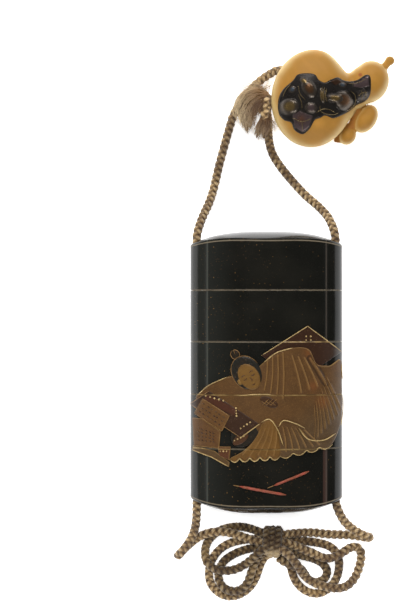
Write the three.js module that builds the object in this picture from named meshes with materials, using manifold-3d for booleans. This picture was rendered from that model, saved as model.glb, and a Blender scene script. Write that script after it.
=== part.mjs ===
// An inro, a stack of lacquered boxes worn hanging from a sash, lying on its back with its front face up,
// with its braided cord tied in a bow below and a double-gourd netsuke on the cord above.
// Millimetres, +Z up. +X is the case's width and +Y its height, with the lid at the +Y end.
import * as THREE from "three";
import { mergeVertices } from "three/addons/utils/BufferGeometryUtils.js";
import Module from "manifold-3d";

// The case: an elliptic column of five pieces with a domed crown at each end.
const HALF_WIDTH = 25;
const HALF_DEPTH = 12;
const REST_FLAT = 0.2; // taken off the back, which leaves a flat strip 8.7 mm wide to lie on
const CROWN_Y = 46.17; // half the height from crown to crown
const LID_DROP = 4.4; // how far the lid's crown falls towards the sides
const FOOT_DROP = 5.15; // the same at the bottom
const CROWN_ROLL = 2.75; // how far both crowns fall towards the front and back
const CROWN_POWER = 2.9;
const SEAMS_Y = [27.2, 10.4, -6.8, -24.3]; // from the lid's joint down
const SEAM_GAP = 0.3;

// Inside each box: a liner stands up as a riser, and the piece above has a socket for it.
const OUTER_WALL = 1.5;
const SIDE_WALL = 6.4; // thicker at the sides, where the cord runs
const LINER_WALL = 1;
const RISER_HEIGHT = 3.5;
const SOCKET_DEPTH = 3.8;
const FLOOR = 1;
const CROWN_WALL = 4.8; // from the crown to the end of the hollow under it

// The cord, its tunnels through the sides, and the netsuke's cord hole.
const CORD_RADIUS = 1.35;
const TUNNEL_RADIUS = 1.6;
const TUNNEL_X = 22.8;
const HOLE_RADIUS = 1.9;
const CORD_SIDES = 8;
const CORD_STEP = 7.6;
const HOLE_STEP = 3.4; // finer steps where the cord turns inside the netsuke

// The netsuke: a flattened double gourd on its back, its axis turned up to the right.
const GOURD = {
  x: 15.4,
  y: 90.6,
  tilt: THREE.MathUtils.degToRad(15.4),
  big: { length: 13.7, width: 15.8, depth: 8.2, z: 7.6 },
  small: { at: 20.3, length: 6.3, width: 7, depth: 6, z: 6.4 },
  waist: { at: 13.6, width: 5.4, depth: 4.2, reach: 5, shift: -1.5, blend: 6 },
};
const INLAY_PROUD = 0.5;
const INLAY_DEPTH = 0.8;
const INLAY_GAP = 0.3;

const SIDES = 36;
const AXIS_Z = HALF_DEPTH - REST_FLAT;

// Materials
const lacquer = new THREE.MeshStandardMaterial({ color: 0x17140f, roughness: 0.18, metalness: 0 });
const braid = new THREE.MeshStandardMaterial({ color: 0x7b6748, roughness: 0.85, metalness: 0 });
const ivory = new THREE.MeshStandardMaterial({ color: 0xd9ae66, roughness: 0.4, metalness: 0 });
const metal = new THREE.MeshStandardMaterial({ color: 0x3c362f, roughness: 0.35, metalness: 0.8 });

// Joining and cutting
const wasm = await Module();
wasm.setup();

function solid(geometry) {
  const bare = geometry.clone().deleteAttribute("normal").deleteAttribute("uv");
  const merged = mergeVertices(bare, 1e-4);
  return new wasm.Manifold(
    new wasm.Mesh({
      numProp: 3,
      vertProperties: merged.attributes.position.array,
      triVerts: new Uint32Array(merged.index.array),
    }),
  );
}

function geometryOf(made) {
  const mesh = made.getMesh();
  const geometry = new THREE.BufferGeometry();
  geometry.setAttribute("position", new THREE.BufferAttribute(mesh.vertProperties, 3));
  geometry.setIndex(new THREE.BufferAttribute(mesh.triVerts, 1));
  geometry.computeVertexNormals();
  return geometry;
}

// A closed skin over rings of points that run anticlockwise as seen from the end, with a point at each end.
function loft(start, rings, end) {
  const sides = rings[0].length;
  const last = 1 + (rings.length - 1) * sides;
  const index = [];
  for (let j = 0; j < sides; j++) {
    const k = (j + 1) % sides;
    index.push(0, 1 + k, 1 + j);
    for (let a = 1; a < last; a += sides)
      index.push(a + j, a + k, a + sides + k, a + j, a + sides + k, a + sides + j);
    index.push(last + j, last + k, last + sides);
  }
  const points = [start, ...rings.flat(), end].flat();
  const geometry = new THREE.BufferGeometry();
  geometry.setAttribute("position", new THREE.Float32BufferAttribute(points, 3));
  geometry.setIndex(index);
  return solid(geometry);
}

function turns(sides) {
  return Array.from({ length: sides }, (_, i) => (2 * Math.PI * i) / sides);
}

// Case pieces

function crownHeight(side, front, drop) {
  return CROWN_Y - drop * Math.abs(side) ** CROWN_POWER - CROWN_ROLL * front ** 2;
}

// One ring of the case: yAt gives its height at a share of the width and a share of the depth.
function ring(halfWidth, halfDepth, yAt) {
  return turns(SIDES).map((a) => {
    const side = (halfWidth * Math.sin(a)) / HALF_WIDTH;
    const front = (halfDepth * Math.cos(a)) / HALF_DEPTH;
    return [HALF_WIDTH * side, yAt(side, front), Math.max(0, AXIS_Z + HALF_DEPTH * front)];
  });
}

const level = (y) => () => y;
const outer = (y) => ring(HALF_WIDTH, HALF_DEPTH, level(y));
const socket = (y) => ring(HALF_WIDTH - SIDE_WALL, HALF_DEPTH - OUTER_WALL, level(y));
const riser = (y) => ring(HALF_WIDTH - SIDE_WALL - 0.3, HALF_DEPTH - OUTER_WALL - 0.3, level(y));
const hollow = (y) => {
  const inset = 0.3 + LINER_WALL;
  return ring(HALF_WIDTH - SIDE_WALL - inset, HALF_DEPTH - OUTER_WALL - inset, level(y));
};
const onAxis = (y) => [0, y, AXIS_Z];

// The rings of a crown from its outer edge inwards: sign is 1 on the lid and -1 at the bottom.
function crown(sign, drop) {
  const edge = (side, front) => sign * (crownHeight(side, front, drop) - 0.7);
  const face = (side, front) => sign * crownHeight(side, front, drop);
  const shares = [0.982, 0.88, 0.7, 0.45, 0.2];
  const rings = shares.map((s) => ring(s * HALF_WIDTH, s * HALF_DEPTH, face));
  return [ring(HALF_WIDTH, HALF_DEPTH, edge), ...rings];
}

function middleBox(foot, top) {
  const floor = foot + SOCKET_DEPTH + FLOOR;
  return loft(
    onAxis(foot + SOCKET_DEPTH),
    [socket(foot + SOCKET_DEPTH), socket(foot), outer(foot), outer(top), riser(top),
      riser(top + RISER_HEIGHT), hollow(top + RISER_HEIGHT), hollow(floor)],
    onAxis(floor),
  );
}

function lid(foot) {
  const roof = CROWN_Y - CROWN_WALL;
  const step = foot + SOCKET_DEPTH;
  return loft(
    onAxis(roof),
    [hollow(roof), hollow(step), socket(step), socket(foot), outer(foot), ...crown(1, LID_DROP)],
    onAxis(CROWN_Y),
  );
}

function bottomBox(top) {
  const floor = CROWN_WALL - CROWN_Y;
  return loft(
    onAxis(-CROWN_Y),
    [...crown(-1, FOOT_DROP).reverse(), outer(top), riser(top), riser(top + RISER_HEIGHT),
      hollow(top + RISER_HEIGHT), hollow(floor)],
    onAxis(floor),
  );
}

// Cords

function curveThrough(points) {
  const places = points.map((p) => new THREE.Vector3(...p));
  return new THREE.CatmullRomCurve3(places, false, "centripetal");
}

function tubeAlong(points, radius, step) {
  const curve = curveThrough(points);
  const corners = turns(CORD_SIDES).map((a) => new THREE.Vector2(radius * Math.cos(a), radius * Math.sin(a)));
  const steps = Math.ceil(curve.getLength() / step);
  return solid(new THREE.ExtrudeGeometry(new THREE.Shape(corners), { extrudePath: curve, steps }));
}

// Where each strand runs from the netsuke to the case, and from the case to the bow.
const LEFT_ABOVE = [
  [-22.8, 42.8, AXIS_Z], [-22.8, 45.2, 11.7], [-22, 48.4, 10.4], [-20.6, 52.2, 7.5], [-18.8, 56.3, 4.5],
  [-17.2, 61.3, 2.2], [-15.6, 68.3, 1.4], [-13.9, 74.7, 1.4], [-12.4, 80.1, 1.4], [-10.5, 86, 1.4],
  [-7.4, 91.2, 1.4], [-3.4, 95.8, 1.4], [0.4, 98.9, 1.6], [3.6, 100.6, 2.5],
];
// From there the left strand turns inside the netsuke and comes out at its left end.
const IN_NETSUKE = [
  [1.4, 99.5, 1.9], [3.6, 100.6, 2.5], [6.8, 100.7, 3.7], [9.8, 99.2, 4.7], [11.2, 96.4, 5.1],
  [10.2, 93.3, 4.9], [7.2, 90.9, 4.3], [4, 89.5, 3.9], [0.6, 89, 4],
];
const RIGHT_ABOVE = [
  [22.8, 42.8, AXIS_Z], [22.7, 45.2, 11.7], [21.9, 48.4, 10.3], [20.3, 51.9, 7.4], [17.3, 55.4, 4.4],
  [13.4, 59, 2.4], [9.2, 63.6, 1.5], [5.2, 68.5, 1.4], [2.4, 73, 1.4], [1.2, 77.6, 1.4],
  [1, 81.2, 1.5], [0.9, 84.6, 2.1], [0.2, 88, 3.6],
];
const LEFT_BELOW = [
  [-22.8, -42.4, AXIS_Z], [-22.9, -44.8, 11.6], [-23, -48, 10.3], [-23.4, -51.2, 9], [-24.5, -54.4, 8.4],
  [-26.2, -57.2, 8.2], [-28.1, -59.7, 7.3], [-29, -60.9, 4.9], [-28.2, -60.2, 2.5], [-26.4, -58.6, 1.4],
  [-24.4, -56.8, 1.4], [-22.2, -55.1, 2.4], [-19.5, -53.7, 4], [-16.9, -53.1, 4.7], [-13.8, -53.1, 4.8],
  [-10.4, -53.8, 4.7], [-6.8, -55, 4.8], [-3.2, -56.2, 5], [0.5, -56.8, 5],
];
const RIGHT_BELOW = [
  [22.8, -42.4, AXIS_Z], [23.5, -44.6, 11.6], [24.7, -47.2, 10.7], [26.4, -49.7, 9.6], [28.6, -51.6, 8.8],
  [31.2, -53.3, 8.2], [33.6, -54.4, 7.2], [34.6, -54.9, 4.8], [33.6, -55.2, 2.5], [31.2, -54.9, 1.4],
  [27.6, -54.5, 1.4], [24.2, -54.4, 1.4], [20.4, -54.2, 1.4], [16.6, -53.8, 1.4], [12.8, -53.7, 2.2],
  [9, -53.8, 3.8], [5, -54.2, 5.4],
];
const BOW_LOOPS = {
  bow_loop_left_upper: [
    [0.5, -54, 3.8], [-2.2, -53.2, 3], [-4.8, -52.4, 1.8], [-7.8, -51.8, 1.4], [-11.2, -51.9, 1.4],
    [-14.6, -52.8, 1.4], [-17.4, -54.6, 1.4], [-19.5, -57.3, 1.5], [-20.1, -60.3, 3.2], [-19.4, -63.2, 4.9],
    [-17.2, -65.2, 5], [-14.2, -66, 4.9], [-11.2, -65.8, 4.9], [-8.4, -64.8, 5.2], [-5.8, -63, 6.1],
    [-3.6, -61, 7.1], [-1.6, -59.1, 7.6], [0.6, -57.4, 7.2],
  ],
  bow_loop_left_outer: [
    [0.4, -55.9, 2.2], [-2.8, -55.9, 1.7], [-5.6, -56, 1.4], [-8.6, -56.4, 1.4], [-11.6, -57.2, 1.4],
    [-14.4, -58.7, 1.4], [-16.6, -60.9, 1.4], [-18.2, -63.8, 1.4], [-18.8, -67, 1.4], [-18.4, -70.2, 1.4],
    [-16.5, -73, 1.4], [-13.4, -74.8, 1.4], [-9.9, -74.8, 1.4], [-6.9, -73.4, 1.4], [-4.6, -71.2, 1.4],
    [-3, -68.4, 1.4], [-2, -65.4, 1.4], [-0.8, -62.7, 1.5], [1.2, -60.4, 2],
  ],
  bow_loop_left_inner: [
    [-0.2, -58.3, 2.8], [-2.9, -58.7, 2], [-5.6, -59.2, 1.4], [-8.6, -60.1, 1.4], [-11.3, -61.4, 1.4],
    [-13.7, -63.2, 1.4], [-15.2, -65.7, 1.8], [-15.6, -68.4, 3], [-14.8, -70.8, 3.9], [-12.8, -72.4, 4.2],
    [-10, -72.9, 4.2], [-7.6, -72, 4.2], [-5.9, -70, 4.2], [-4.9, -67.3, 4.2], [-4, -64.5, 4.2],
    [-2.7, -62, 4.2], [-0.9, -60, 4.5],
  ],
  bow_loop_right_outer: [
    [5, -56.8, 2.7], [8.2, -56.6, 1.9], [11.2, -56.5, 1.4], [14.4, -56.7, 1.4], [17.8, -57.2, 1.4],
    [21, -58.1, 1.4], [23.4, -59.9, 1.4], [24.6, -62.8, 1.4], [24.6, -65.8, 1.4], [23.7, -69.2, 1.4],
    [21.4, -72.2, 1.4], [18, -74, 1.4], [14.4, -73.6, 1.4], [11.5, -71.6, 1.4], [9.7, -69, 1.4],
    [8.8, -66.2, 1.4], [8.3, -63.2, 1.4], [7, -60.8, 1.4], [4.8, -59, 1.6],
  ],
  bow_loop_right_inner: [
    [4.6, -58.8, 4.6], [7.8, -59.7, 4.4], [10.7, -60.8, 3], [13.6, -61.7, 1.7], [16.5, -62.6, 1.4],
    [19.2, -64.1, 1.4], [20.7, -66.6, 1.4], [19.7, -69.2, 1.4], [17, -70.3, 1.4], [14.6, -69.5, 1.4],
    [13, -67.2, 1.4], [11.8, -65.6, 2.6], [9.6, -64.5, 4.1], [7, -63.5, 4.5], [4.4, -61.8, 4.8],
  ],
  bow_loop_right_wide: [
    [4.4, -57.8, 7.6], [6.8, -59.6, 7.9], [8.9, -61.8, 7.6], [10.7, -64.2, 6.8], [12.2, -66.8, 5.3],
    [14.4, -69, 4.6], [17.4, -70.6, 4.4], [20.8, -71.5, 4.7], [24.2, -71.9, 4.7], [27.3, -71.2, 3.2],
    [29.7, -69.1, 1.7], [31.1, -66.2, 1.4], [31.9, -63.2, 1.4], [32, -60.4, 1.4], [30.6, -58.6, 1.9],
    [28.2, -58.6, 3], [25.9, -59.9, 4.2], [23.6, -61.2, 4.6], [21.2, -61.9, 4.6], [18.8, -61.6, 4.5],
    [15.8, -60.2, 4.5], [12.8, -59, 4.6], [9.8, -57.6, 5.2], [6.8, -56.6, 5.8], [4, -56.4, 6],
  ],
};

function throughCase(radius, side) {
  const rod = new THREE.CylinderGeometry(radius, radius, 2 * CROWN_Y, CORD_SIDES);
  return solid(rod.translate(side * TUNNEL_X, 0, AXIS_Z));
}

// A strand is one piece from the netsuke through the case's tunnel to the bow.
function strand(above, below, side) {
  const top = above[0][1] + 1;
  const bottom = below[0][1] - 1;
  const inside = new THREE.CylinderGeometry(CORD_RADIUS - 0.05, CORD_RADIUS - 0.05, top - bottom, CORD_SIDES);
  return tubeAlong(above, CORD_RADIUS, CORD_STEP)
    .add(solid(inside.translate(side * TUNNEL_X, (top + bottom) / 2, AXIS_Z)))
    .add(tubeAlong(below, CORD_RADIUS, CORD_STEP));
}

function ball(x, y, z, rx, ry, rz, turn = 0, wide = 16, high = 10) {
  const sphere = new THREE.SphereGeometry(1, wide, high).scale(rx, ry, rz);
  return solid(sphere.rotateZ(turn).translate(x, y, z));
}

const bowKnot = (grow) => ball(2.5, -56.4, 4.8 + grow, 4.4 + grow, 5.5 + grow, 4.7 + grow, 0, 14, 8);
const endLump = (grow) => ball(-1.3, 89.2, 4.4, 3.1 + grow, 3.6 + grow, 3.4 + grow, 0, 12, 8);

// A frayed end is one tapering brush of loose fibres.
function tuft(points, radii) {
  const curve = curveThrough(points);
  const rings = radii.map((r, i) => {
    const t = i / (radii.length - 1);
    const along = curve.getTangent(t);
    const across = new THREE.Vector3(0, 0, 1).cross(along).normalize();
    const up = along.clone().cross(across);
    const centre = curve.getPoint(t);
    return turns(10).map((a) =>
      centre
        .clone()
        .addScaledVector(across, r * Math.cos(a))
        .addScaledVector(up, r * Math.sin(a))
        .toArray(),
    );
  });
  return loft(points[0], rings, points.at(-1));
}

const endKnot = endLump(0)
  .add(tuft([[-1, 90.6, 5.4], [-4.4, 91.2, 6.6], [-7, 88.6, 6.3], [-7.2, 84.6, 5.1], [-5.8, 80.4, 3.6]],
    [1.3, 2, 2.4, 2, 0.9]))
  .add(tuft([[-0.9, 87.6, 5.8], [-0.9, 84.6, 6], [-0.6, 81.6, 5.6], [-0.3, 78.8, 5]], [2, 2.1, 2, 1.2]));

// Netsuke

const softMax = (a, b, power) => (a ** power + b ** power) ** (1 / power);
const dome = (t, at, length) => Math.sqrt(Math.max(0, 1 - ((t - at) / length) ** 2));

// The gourd's ring at t along its axis, made larger all round by grow; flat rests it on the floor.
function gourdRing(t, grow, flat) {
  const { big, small, waist } = GOURD;
  const fade = Math.exp(-(((t - waist.at) / waist.reach) ** 4));
  const size = (key) => {
    const bulb = t < waist.at ? big[key] * dome(t, 0, big.length) : small[key] * dome(t, small.at, small.length);
    return softMax(bulb, waist[key] * fade, waist.blend) + grow;
  };
  const half = size("width");
  const thick = size("depth");
  const z = THREE.MathUtils.lerp(big.z, small.z, THREE.MathUtils.smoothstep(t, 6, small.at));
  const shift = waist.shift * Math.exp(-(((t - waist.at) / waist.reach) ** 2));
  return turns(18).map((a) => {
    const across = shift + half * Math.cos(a);
    const height = z + thick * Math.sin(a);
    return [...gourdPlace(t, across), flat ? Math.max(0, height) : height];
  });
}

function gourdPlace(t, across) {
  const { x, y, tilt } = GOURD;
  return [x + t * Math.cos(tilt) - across * Math.sin(tilt), y + t * Math.sin(tilt) + across * Math.cos(tilt)];
}

function gourdBody(grow, flat) {
  const { big, small } = GOURD;
  const tip = small.at + small.length;
  const bigRings = turns(18).slice(1, 9).map((a) => -big.length * Math.cos(a));
  const neckRings = [14.2, 16.4];
  const smallRings = turns(16).slice(3, 8).map((a) => small.at - small.length * Math.cos(a));
  const rings = [...bigRings, ...neckRings, ...smallRings].map((t) => gourdRing(t, grow, flat));
  const start = [...gourdPlace(-big.length - grow, 0), big.z];
  return loft(start, rings, [...gourdPlace(tip + grow, 0), small.z]);
}

// The inlaid plaque's edge, round three lobes of leaf and the tip that reaches the small bulb.
const PLAQUE_EDGE = [
  [3.8, 87.4], [4.3, 91.1], [5.6, 93.3], [8.7, 96], [10.1, 97.8], [13, 98.3], [15.9, 97.8], [17.1, 96.1],
  [19, 95.2], [21.2, 96.3], [23.5, 97.1], [25.4, 96.3], [27.7, 96.1], [30.2, 96.6], [32.8, 98.1],
  [34, 97.8], [34.4, 95.9], [34.2, 91.6], [33, 89.8], [29.9, 88.3], [27.7, 86.4], [23.7, 84.2],
  [21.8, 83.6], [19.2, 84.4], [17.5, 83.6], [15.9, 83], [14.2, 80.2], [11.9, 78.5], [9.2, 79.9],
  [8.1, 82.2], [5.9, 83.1], [4.4, 84.8],
];

function plaquePrism(grow) {
  const curve = new THREE.CatmullRomCurve3(PLAQUE_EDGE.map(([x, y]) => new THREE.Vector3(x, y, 0)), true);
  const corners = turns(44).map((a) => {
    const t = a / (2 * Math.PI);
    const place = curve.getPoint(t);
    const along = curve.getTangent(t);
    return new THREE.Vector2(place.x - grow * along.y, place.y + grow * along.x);
  });
  const prism = new THREE.ExtrudeGeometry(new THREE.Shape(corners), { depth: 12, bevelEnabled: false });
  return solid(prism.translate(0, 0, 7.5));
}

const plaqueBumps = [
  ball(7.7, 87.4, 12.2, 3, 3.2, 2.3, 0, 10, 7),
  ball(14.2, 93.3, 15, 2.7, 2.9, 2, 0, 10, 7),
  ball(14.4, 86.8, 15.1, 1.7, 1.8, 1.8, 0, 8, 6),
  ball(25, 89.6, 13.6, 4.4, 3.8, 2.6, 0.2, 12, 7),
  ball(18.6, 90.7, 15.4, 1.2, 2.1, 1.3, 0.2, 8, 6),
];
const plaque = plaqueBumps
  .reduce((made, bump) => made.add(bump), plaquePrism(0).intersect(gourdBody(INLAY_PROUD, false)))
  .subtract(gourdBody(-INLAY_DEPTH, false))
  .intersect(plaquePrism(0));

const recess = plaquePrism(INLAY_GAP).subtract(gourdBody(-INLAY_DEPTH - INLAY_GAP, false));
const stem = tubeAlong([[38, 100.4, 6.8], [39.3, 101.8, 7], [40.4, 103.2, 7.1]], 0.85, 1.5);
const vine = tubeAlong(
  [[30.6, 89.6, 6], [30.4, 86.4, 5.2], [29.2, 83.4, 4.6], [28.3, 81.6, 4.2], [26, 81.6, 3.8], [24.6, 79.6, 3.2],
    [24, 76.6, 2.6]],
  0.9, 2.2,
);
const netsuke = gourdBody(0, true)
  .add(ball(41.2, 104, 7.1, 1.25, 1.25, 1.15, 0, 10, 8))
  .add(stem)
  .add(ball(33.6, 84.8, 4.3, 3.3, 4.9, 3.7, -0.6, 14, 8))
  .add(ball(27.4, 78.8, 3.4, 2.7, 3.1, 2.8, -0.6, 10, 7))
  .add(vine)
  .subtract(recess)
  .subtract(tubeAlong(IN_NETSUKE, HOLE_RADIUS, HOLE_STEP));

// The object

const inro = new THREE.Group();

function addPiece(name, made, material) {
  const mesh = new THREE.Mesh(geometryOf(made), material);
  mesh.name = name;
  inro.add(mesh);
}

const tunnels = throughCase(TUNNEL_RADIUS, -1).add(throughCase(TUNNEL_RADIUS, 1));
addPiece("lid", lid(SEAMS_Y[0] + SEAM_GAP / 2).subtract(tunnels), lacquer);
["upper_box", "middle_box", "lower_box"].forEach((name, i) => {
  const made = middleBox(SEAMS_Y[i + 1] + SEAM_GAP / 2, SEAMS_Y[i] - SEAM_GAP / 2);
  addPiece(name, made.subtract(tunnels), lacquer);
});
addPiece("bottom_box", bottomBox(SEAMS_Y[3] - SEAM_GAP / 2).subtract(tunnels), lacquer);

const clearOfKnots = (made) => made.subtract(bowKnot(0.3)).subtract(endLump(0.3));
const leftStrand = strand(LEFT_ABOVE, LEFT_BELOW, -1).add(tubeAlong(IN_NETSUKE, CORD_RADIUS - 0.05, HOLE_STEP));
addPiece("cord_left", clearOfKnots(leftStrand), braid);
addPiece("cord_right", clearOfKnots(strand(RIGHT_ABOVE, RIGHT_BELOW, 1)), braid);
for (const [name, route] of Object.entries(BOW_LOOPS))
  addPiece(name, clearOfKnots(tubeAlong(route, CORD_RADIUS, CORD_STEP)), braid);
addPiece("bow_knot", bowKnot(0), braid);
addPiece("end_knot", endKnot, braid);
addPiece("netsuke", netsuke, ivory);
addPiece("netsuke_inlay", plaque, metal);

export default inro;
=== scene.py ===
"""The looks of an inro: five lacquered boxes with a raised gold picture, the braided cord with its bow,
and a double-gourd netsuke with a metal inlay, all lying on a light table.

Sizes in this file are millimetres, and MM turns them into Blender's metres.
"""
import math
import random

import bmesh
import bpy
import numpy as np
from bpy.props import FloatProperty, FloatVectorProperty, PointerProperty
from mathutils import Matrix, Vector
from mathutils.bvhtree import BVHTree
from mathutils.geometry import delaunay_2d_cdt


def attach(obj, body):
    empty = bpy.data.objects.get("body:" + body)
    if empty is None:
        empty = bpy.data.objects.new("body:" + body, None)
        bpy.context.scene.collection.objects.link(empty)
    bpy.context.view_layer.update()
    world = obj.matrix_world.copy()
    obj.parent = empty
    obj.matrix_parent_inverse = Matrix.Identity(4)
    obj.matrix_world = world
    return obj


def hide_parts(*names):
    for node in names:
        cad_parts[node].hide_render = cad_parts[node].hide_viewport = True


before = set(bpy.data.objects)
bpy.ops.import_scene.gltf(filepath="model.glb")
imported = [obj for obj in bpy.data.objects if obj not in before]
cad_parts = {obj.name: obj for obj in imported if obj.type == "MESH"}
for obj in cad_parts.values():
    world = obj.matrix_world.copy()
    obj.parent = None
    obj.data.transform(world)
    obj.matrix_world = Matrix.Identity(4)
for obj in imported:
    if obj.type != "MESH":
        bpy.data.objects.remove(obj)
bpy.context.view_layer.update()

bl_info = {
    "name": "Inro",
    "version": (1, 0, 0),
    "blender": (4, 5, 0),
    "location": "View3D > Sidebar > Inro",
    "description": "Lacquered case, braided cord and gourd netsuke around the packed frame",
    "category": "Add Mesh",
}

MM = 0.001


def tone(red, green, blue):
    """A display colour, 0 to 255, as a linear colour with full alpha."""
    def linear(value):
        share = value / 255
        return share / 12.92 if share <= 0.04045 else ((share + 0.055) / 1.055) ** 2.4

    return (linear(red), linear(green), linear(blue), 1.0)


def length(name, description, millimetres):
    return FloatProperty(
        name=name, description=description, default=millimetres * MM, unit="LENGTH", precision=5,
    )


def colour(name, description, *display):
    return FloatVectorProperty(
        name=name, description=description, default=tone(*display), size=4, subtype="COLOR", min=0, max=1
    )


# Sizes and colours a user may change


class StageSettings(bpy.types.PropertyGroup):
    camera_height: length("Camera height", "Height of the camera above the table", 660)
    camera_x: length("Camera across", "Where the camera looks down, across the table", -20.8)
    camera_y: length("Camera along", "Where the camera looks down, along the table", 22.35)
    focal_length: FloatProperty(
        name="Focal length", description="Lens of the camera", default=116.26, unit="CAMERA",
    )
    table: colour("Table", "Colour of the light table", 250, 250, 250)


class CordSettings(bpy.types.PropertyGroup):
    diameter: length("Diameter", "Across the whole braid", 2.7)
    strand: length("Strand radius", "Half the thickness of one of the four strands", 0.85)
    core: length("Core radius", "How far the strands run from the middle of the cord", 0.56)
    weave: length("Weave depth", "How far a strand rises and dips as it crosses the others", 0.2)
    pitch: length("Pitch", "Length of cord for one whole turn of a strand", 4.0)
    step: length("Step", "Distance between the sections of a strand", 0.25)
    # light is partly wear and partly a painted highlight on the highest plaits; dark is painted shade in the
    # gaps between them
    light: colour("Worn silk with painted highlight", "Where the plaits stand highest", 202, 176, 134)
    middle: colour("Silk", "The sides of the plaits", 120, 95, 64)
    dark: colour("Deep silk", "The gaps between the plaits", 40, 28, 19)


class CaseSettings(bpy.types.PropertyGroup):
    half_width: length("Half width", "Half the width of the case", 25)
    half_depth: length("Half depth", "Half the depth of the case", 12)
    lacquer: colour("Lacquer", "Black lacquer of the ground", 17, 17, 14)
    # Worn edge colours the wear at the joints and the pale rim lines, which are partly a painted highlight.
    worn: colour("Worn edge", "Lacquer worn thin along the joints", 104, 94, 78)
    speck: colour("Gold powder", "Gold specks in the lacquer", 150, 112, 62)


class NetsukeSettings(bpy.types.PropertyGroup):
    ivory: colour("Ivory", "The aged top of the gourd", 150, 108, 46)
    # pale is painted light on the gourd's sides, from the table beneath.
    pale: colour("Pale ivory", "The sides of the gourd", 204, 176, 118)
    stain: colour("Stain", "The stained vine", 128, 62, 34)
    metal: colour("Dark metal", "The patinated inlay", 62, 56, 54)


# Node graphs


class Wire:
    """One output of a node, which sums, products and comparisons can be written with."""

    def __init__(self, graph, socket):
        self.graph = graph
        self.socket = socket

    def maths(self, operation, *values, clamp=False):
        settings = {"operation": operation, "use_clamp": clamp}
        return self.graph.node("ShaderNodeMath", settings, dict(enumerate(values)))

    def __add__(self, other):
        return self.maths("ADD", self, other)

    __radd__ = __add__

    def __mul__(self, other):
        return self.maths("MULTIPLY", self, other)

    __rmul__ = __mul__

    def __sub__(self, other):
        return self.maths("SUBTRACT", self, other)

    def __rsub__(self, other):
        return self.maths("SUBTRACT", other, self)

    def __truediv__(self, other):
        return self.maths("DIVIDE", self, other)

    def __pow__(self, other):
        return self.maths("POWER", self, other)

    def __gt__(self, other):
        return self.maths("GREATER_THAN", self, other)

    def __lt__(self, other):
        return self.maths("LESS_THAN", self, other)

    def __abs__(self):
        return self.maths("ABSOLUTE", self)

    def least(self, other):
        return self.maths("MINIMUM", self, other)

    def most(self, other):
        return self.maths("MAXIMUM", self, other)

    def sine(self):
        return self.maths("SINE", self)

    def cosine(self):
        return self.maths("COSINE", self)

    def ramp(self, low, high, start=0.0, end=1.0):
        """From start to end as the value goes from low to high, and level outside."""
        settings = {"interpolation_type": "SMOOTHSTEP"}
        return self.graph.node("ShaderNodeMapRange", settings, {0: self, 1: low, 2: high, 3: start, 4: end})


class Graph:
    """Adds nodes to a tree: the settings of each first, then the values or links of its sockets."""

    def __init__(self, tree):
        self.tree = tree
        tree.nodes.clear()

    def node(self, kind, settings=None, sockets=None, out=0):
        made = self.tree.nodes.new(kind)
        for name, value in (settings or {}).items():
            setattr(made, name, value)
        for key, value in (sockets or {}).items():
            for item in value if isinstance(value, list) else [value]:
                if isinstance(item, Wire):
                    self.tree.links.new(item.socket, made.inputs[key])
                else:
                    made.inputs[key].default_value = item
        return Wire(self, made.outputs[out]) if made.outputs else None

    def other(self, wire, out):
        """Another output of the node that a wire comes from."""
        return Wire(self, wire.socket.node.outputs[out])

    def vector(self, operation, *values, out=0):
        return self.node("ShaderNodeVectorMath", {"operation": operation}, dict(enumerate(values)), out)


class Finish(Graph):
    """A material's graph round one Principled shader."""

    def __init__(self, name):
        self.material = bpy.data.materials.new(name)
        self.material.use_nodes = True
        super().__init__(self.material.node_tree)
        self.place = self.node("ShaderNodeTexCoord", out="Object")

    def mix(self, factor, a, b):
        return self.node("ShaderNodeMix", {"data_type": "RGBA"}, {0: factor, 6: a, 7: b}, out=2)

    def noise(self, per_metre, detail=2.0, roughness=0.5, vector=None):
        sockets = {
            "Vector": vector or self.place, "Scale": per_metre, "Detail": detail, "Roughness": roughness,
        }
        return self.node("ShaderNodeTexNoise", None, sockets)

    def specks(self, per_metre, size, keep, vector=None):
        """Round dots on the points of a Voronoi pattern, of which only a share is kept."""
        sockets = {"Vector": vector or self.place, "Scale": per_metre}
        distance = self.node("ShaderNodeTexVoronoi", None, sockets)
        chance = self.node("ShaderNodeSeparateColor", None, {0: self.other(distance, "Color")})
        return distance.ramp(size * 0.5, size, 1.0, 0.0) * (chance < keep)

    def axis(self, index, vector=None):
        return self.node("ShaderNodeSeparateXYZ", None, {0: vector or self.place}, index)

    def attribute(self, name, out="Fac"):
        return self.node("ShaderNodeAttribute", {"attribute_name": name}, out=out)

    def bump(self, height, distance, strength=1.0, normal=None):
        sockets = {"Height": height, "Distance": distance, "Strength": strength}
        if normal:
            sockets["Normal"] = normal
        return self.node("ShaderNodeBump", None, sockets)

    def done(self, **sockets):
        """The Principled shader with its sockets set, by name with underscores for spaces."""
        named = {key.replace("_", " "): value for key, value in sockets.items()}
        shader = self.node("ShaderNodeBsdfPrincipled", None, named)
        self.node("ShaderNodeOutputMaterial", None, {"Surface": shader})
        return self.material


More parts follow.
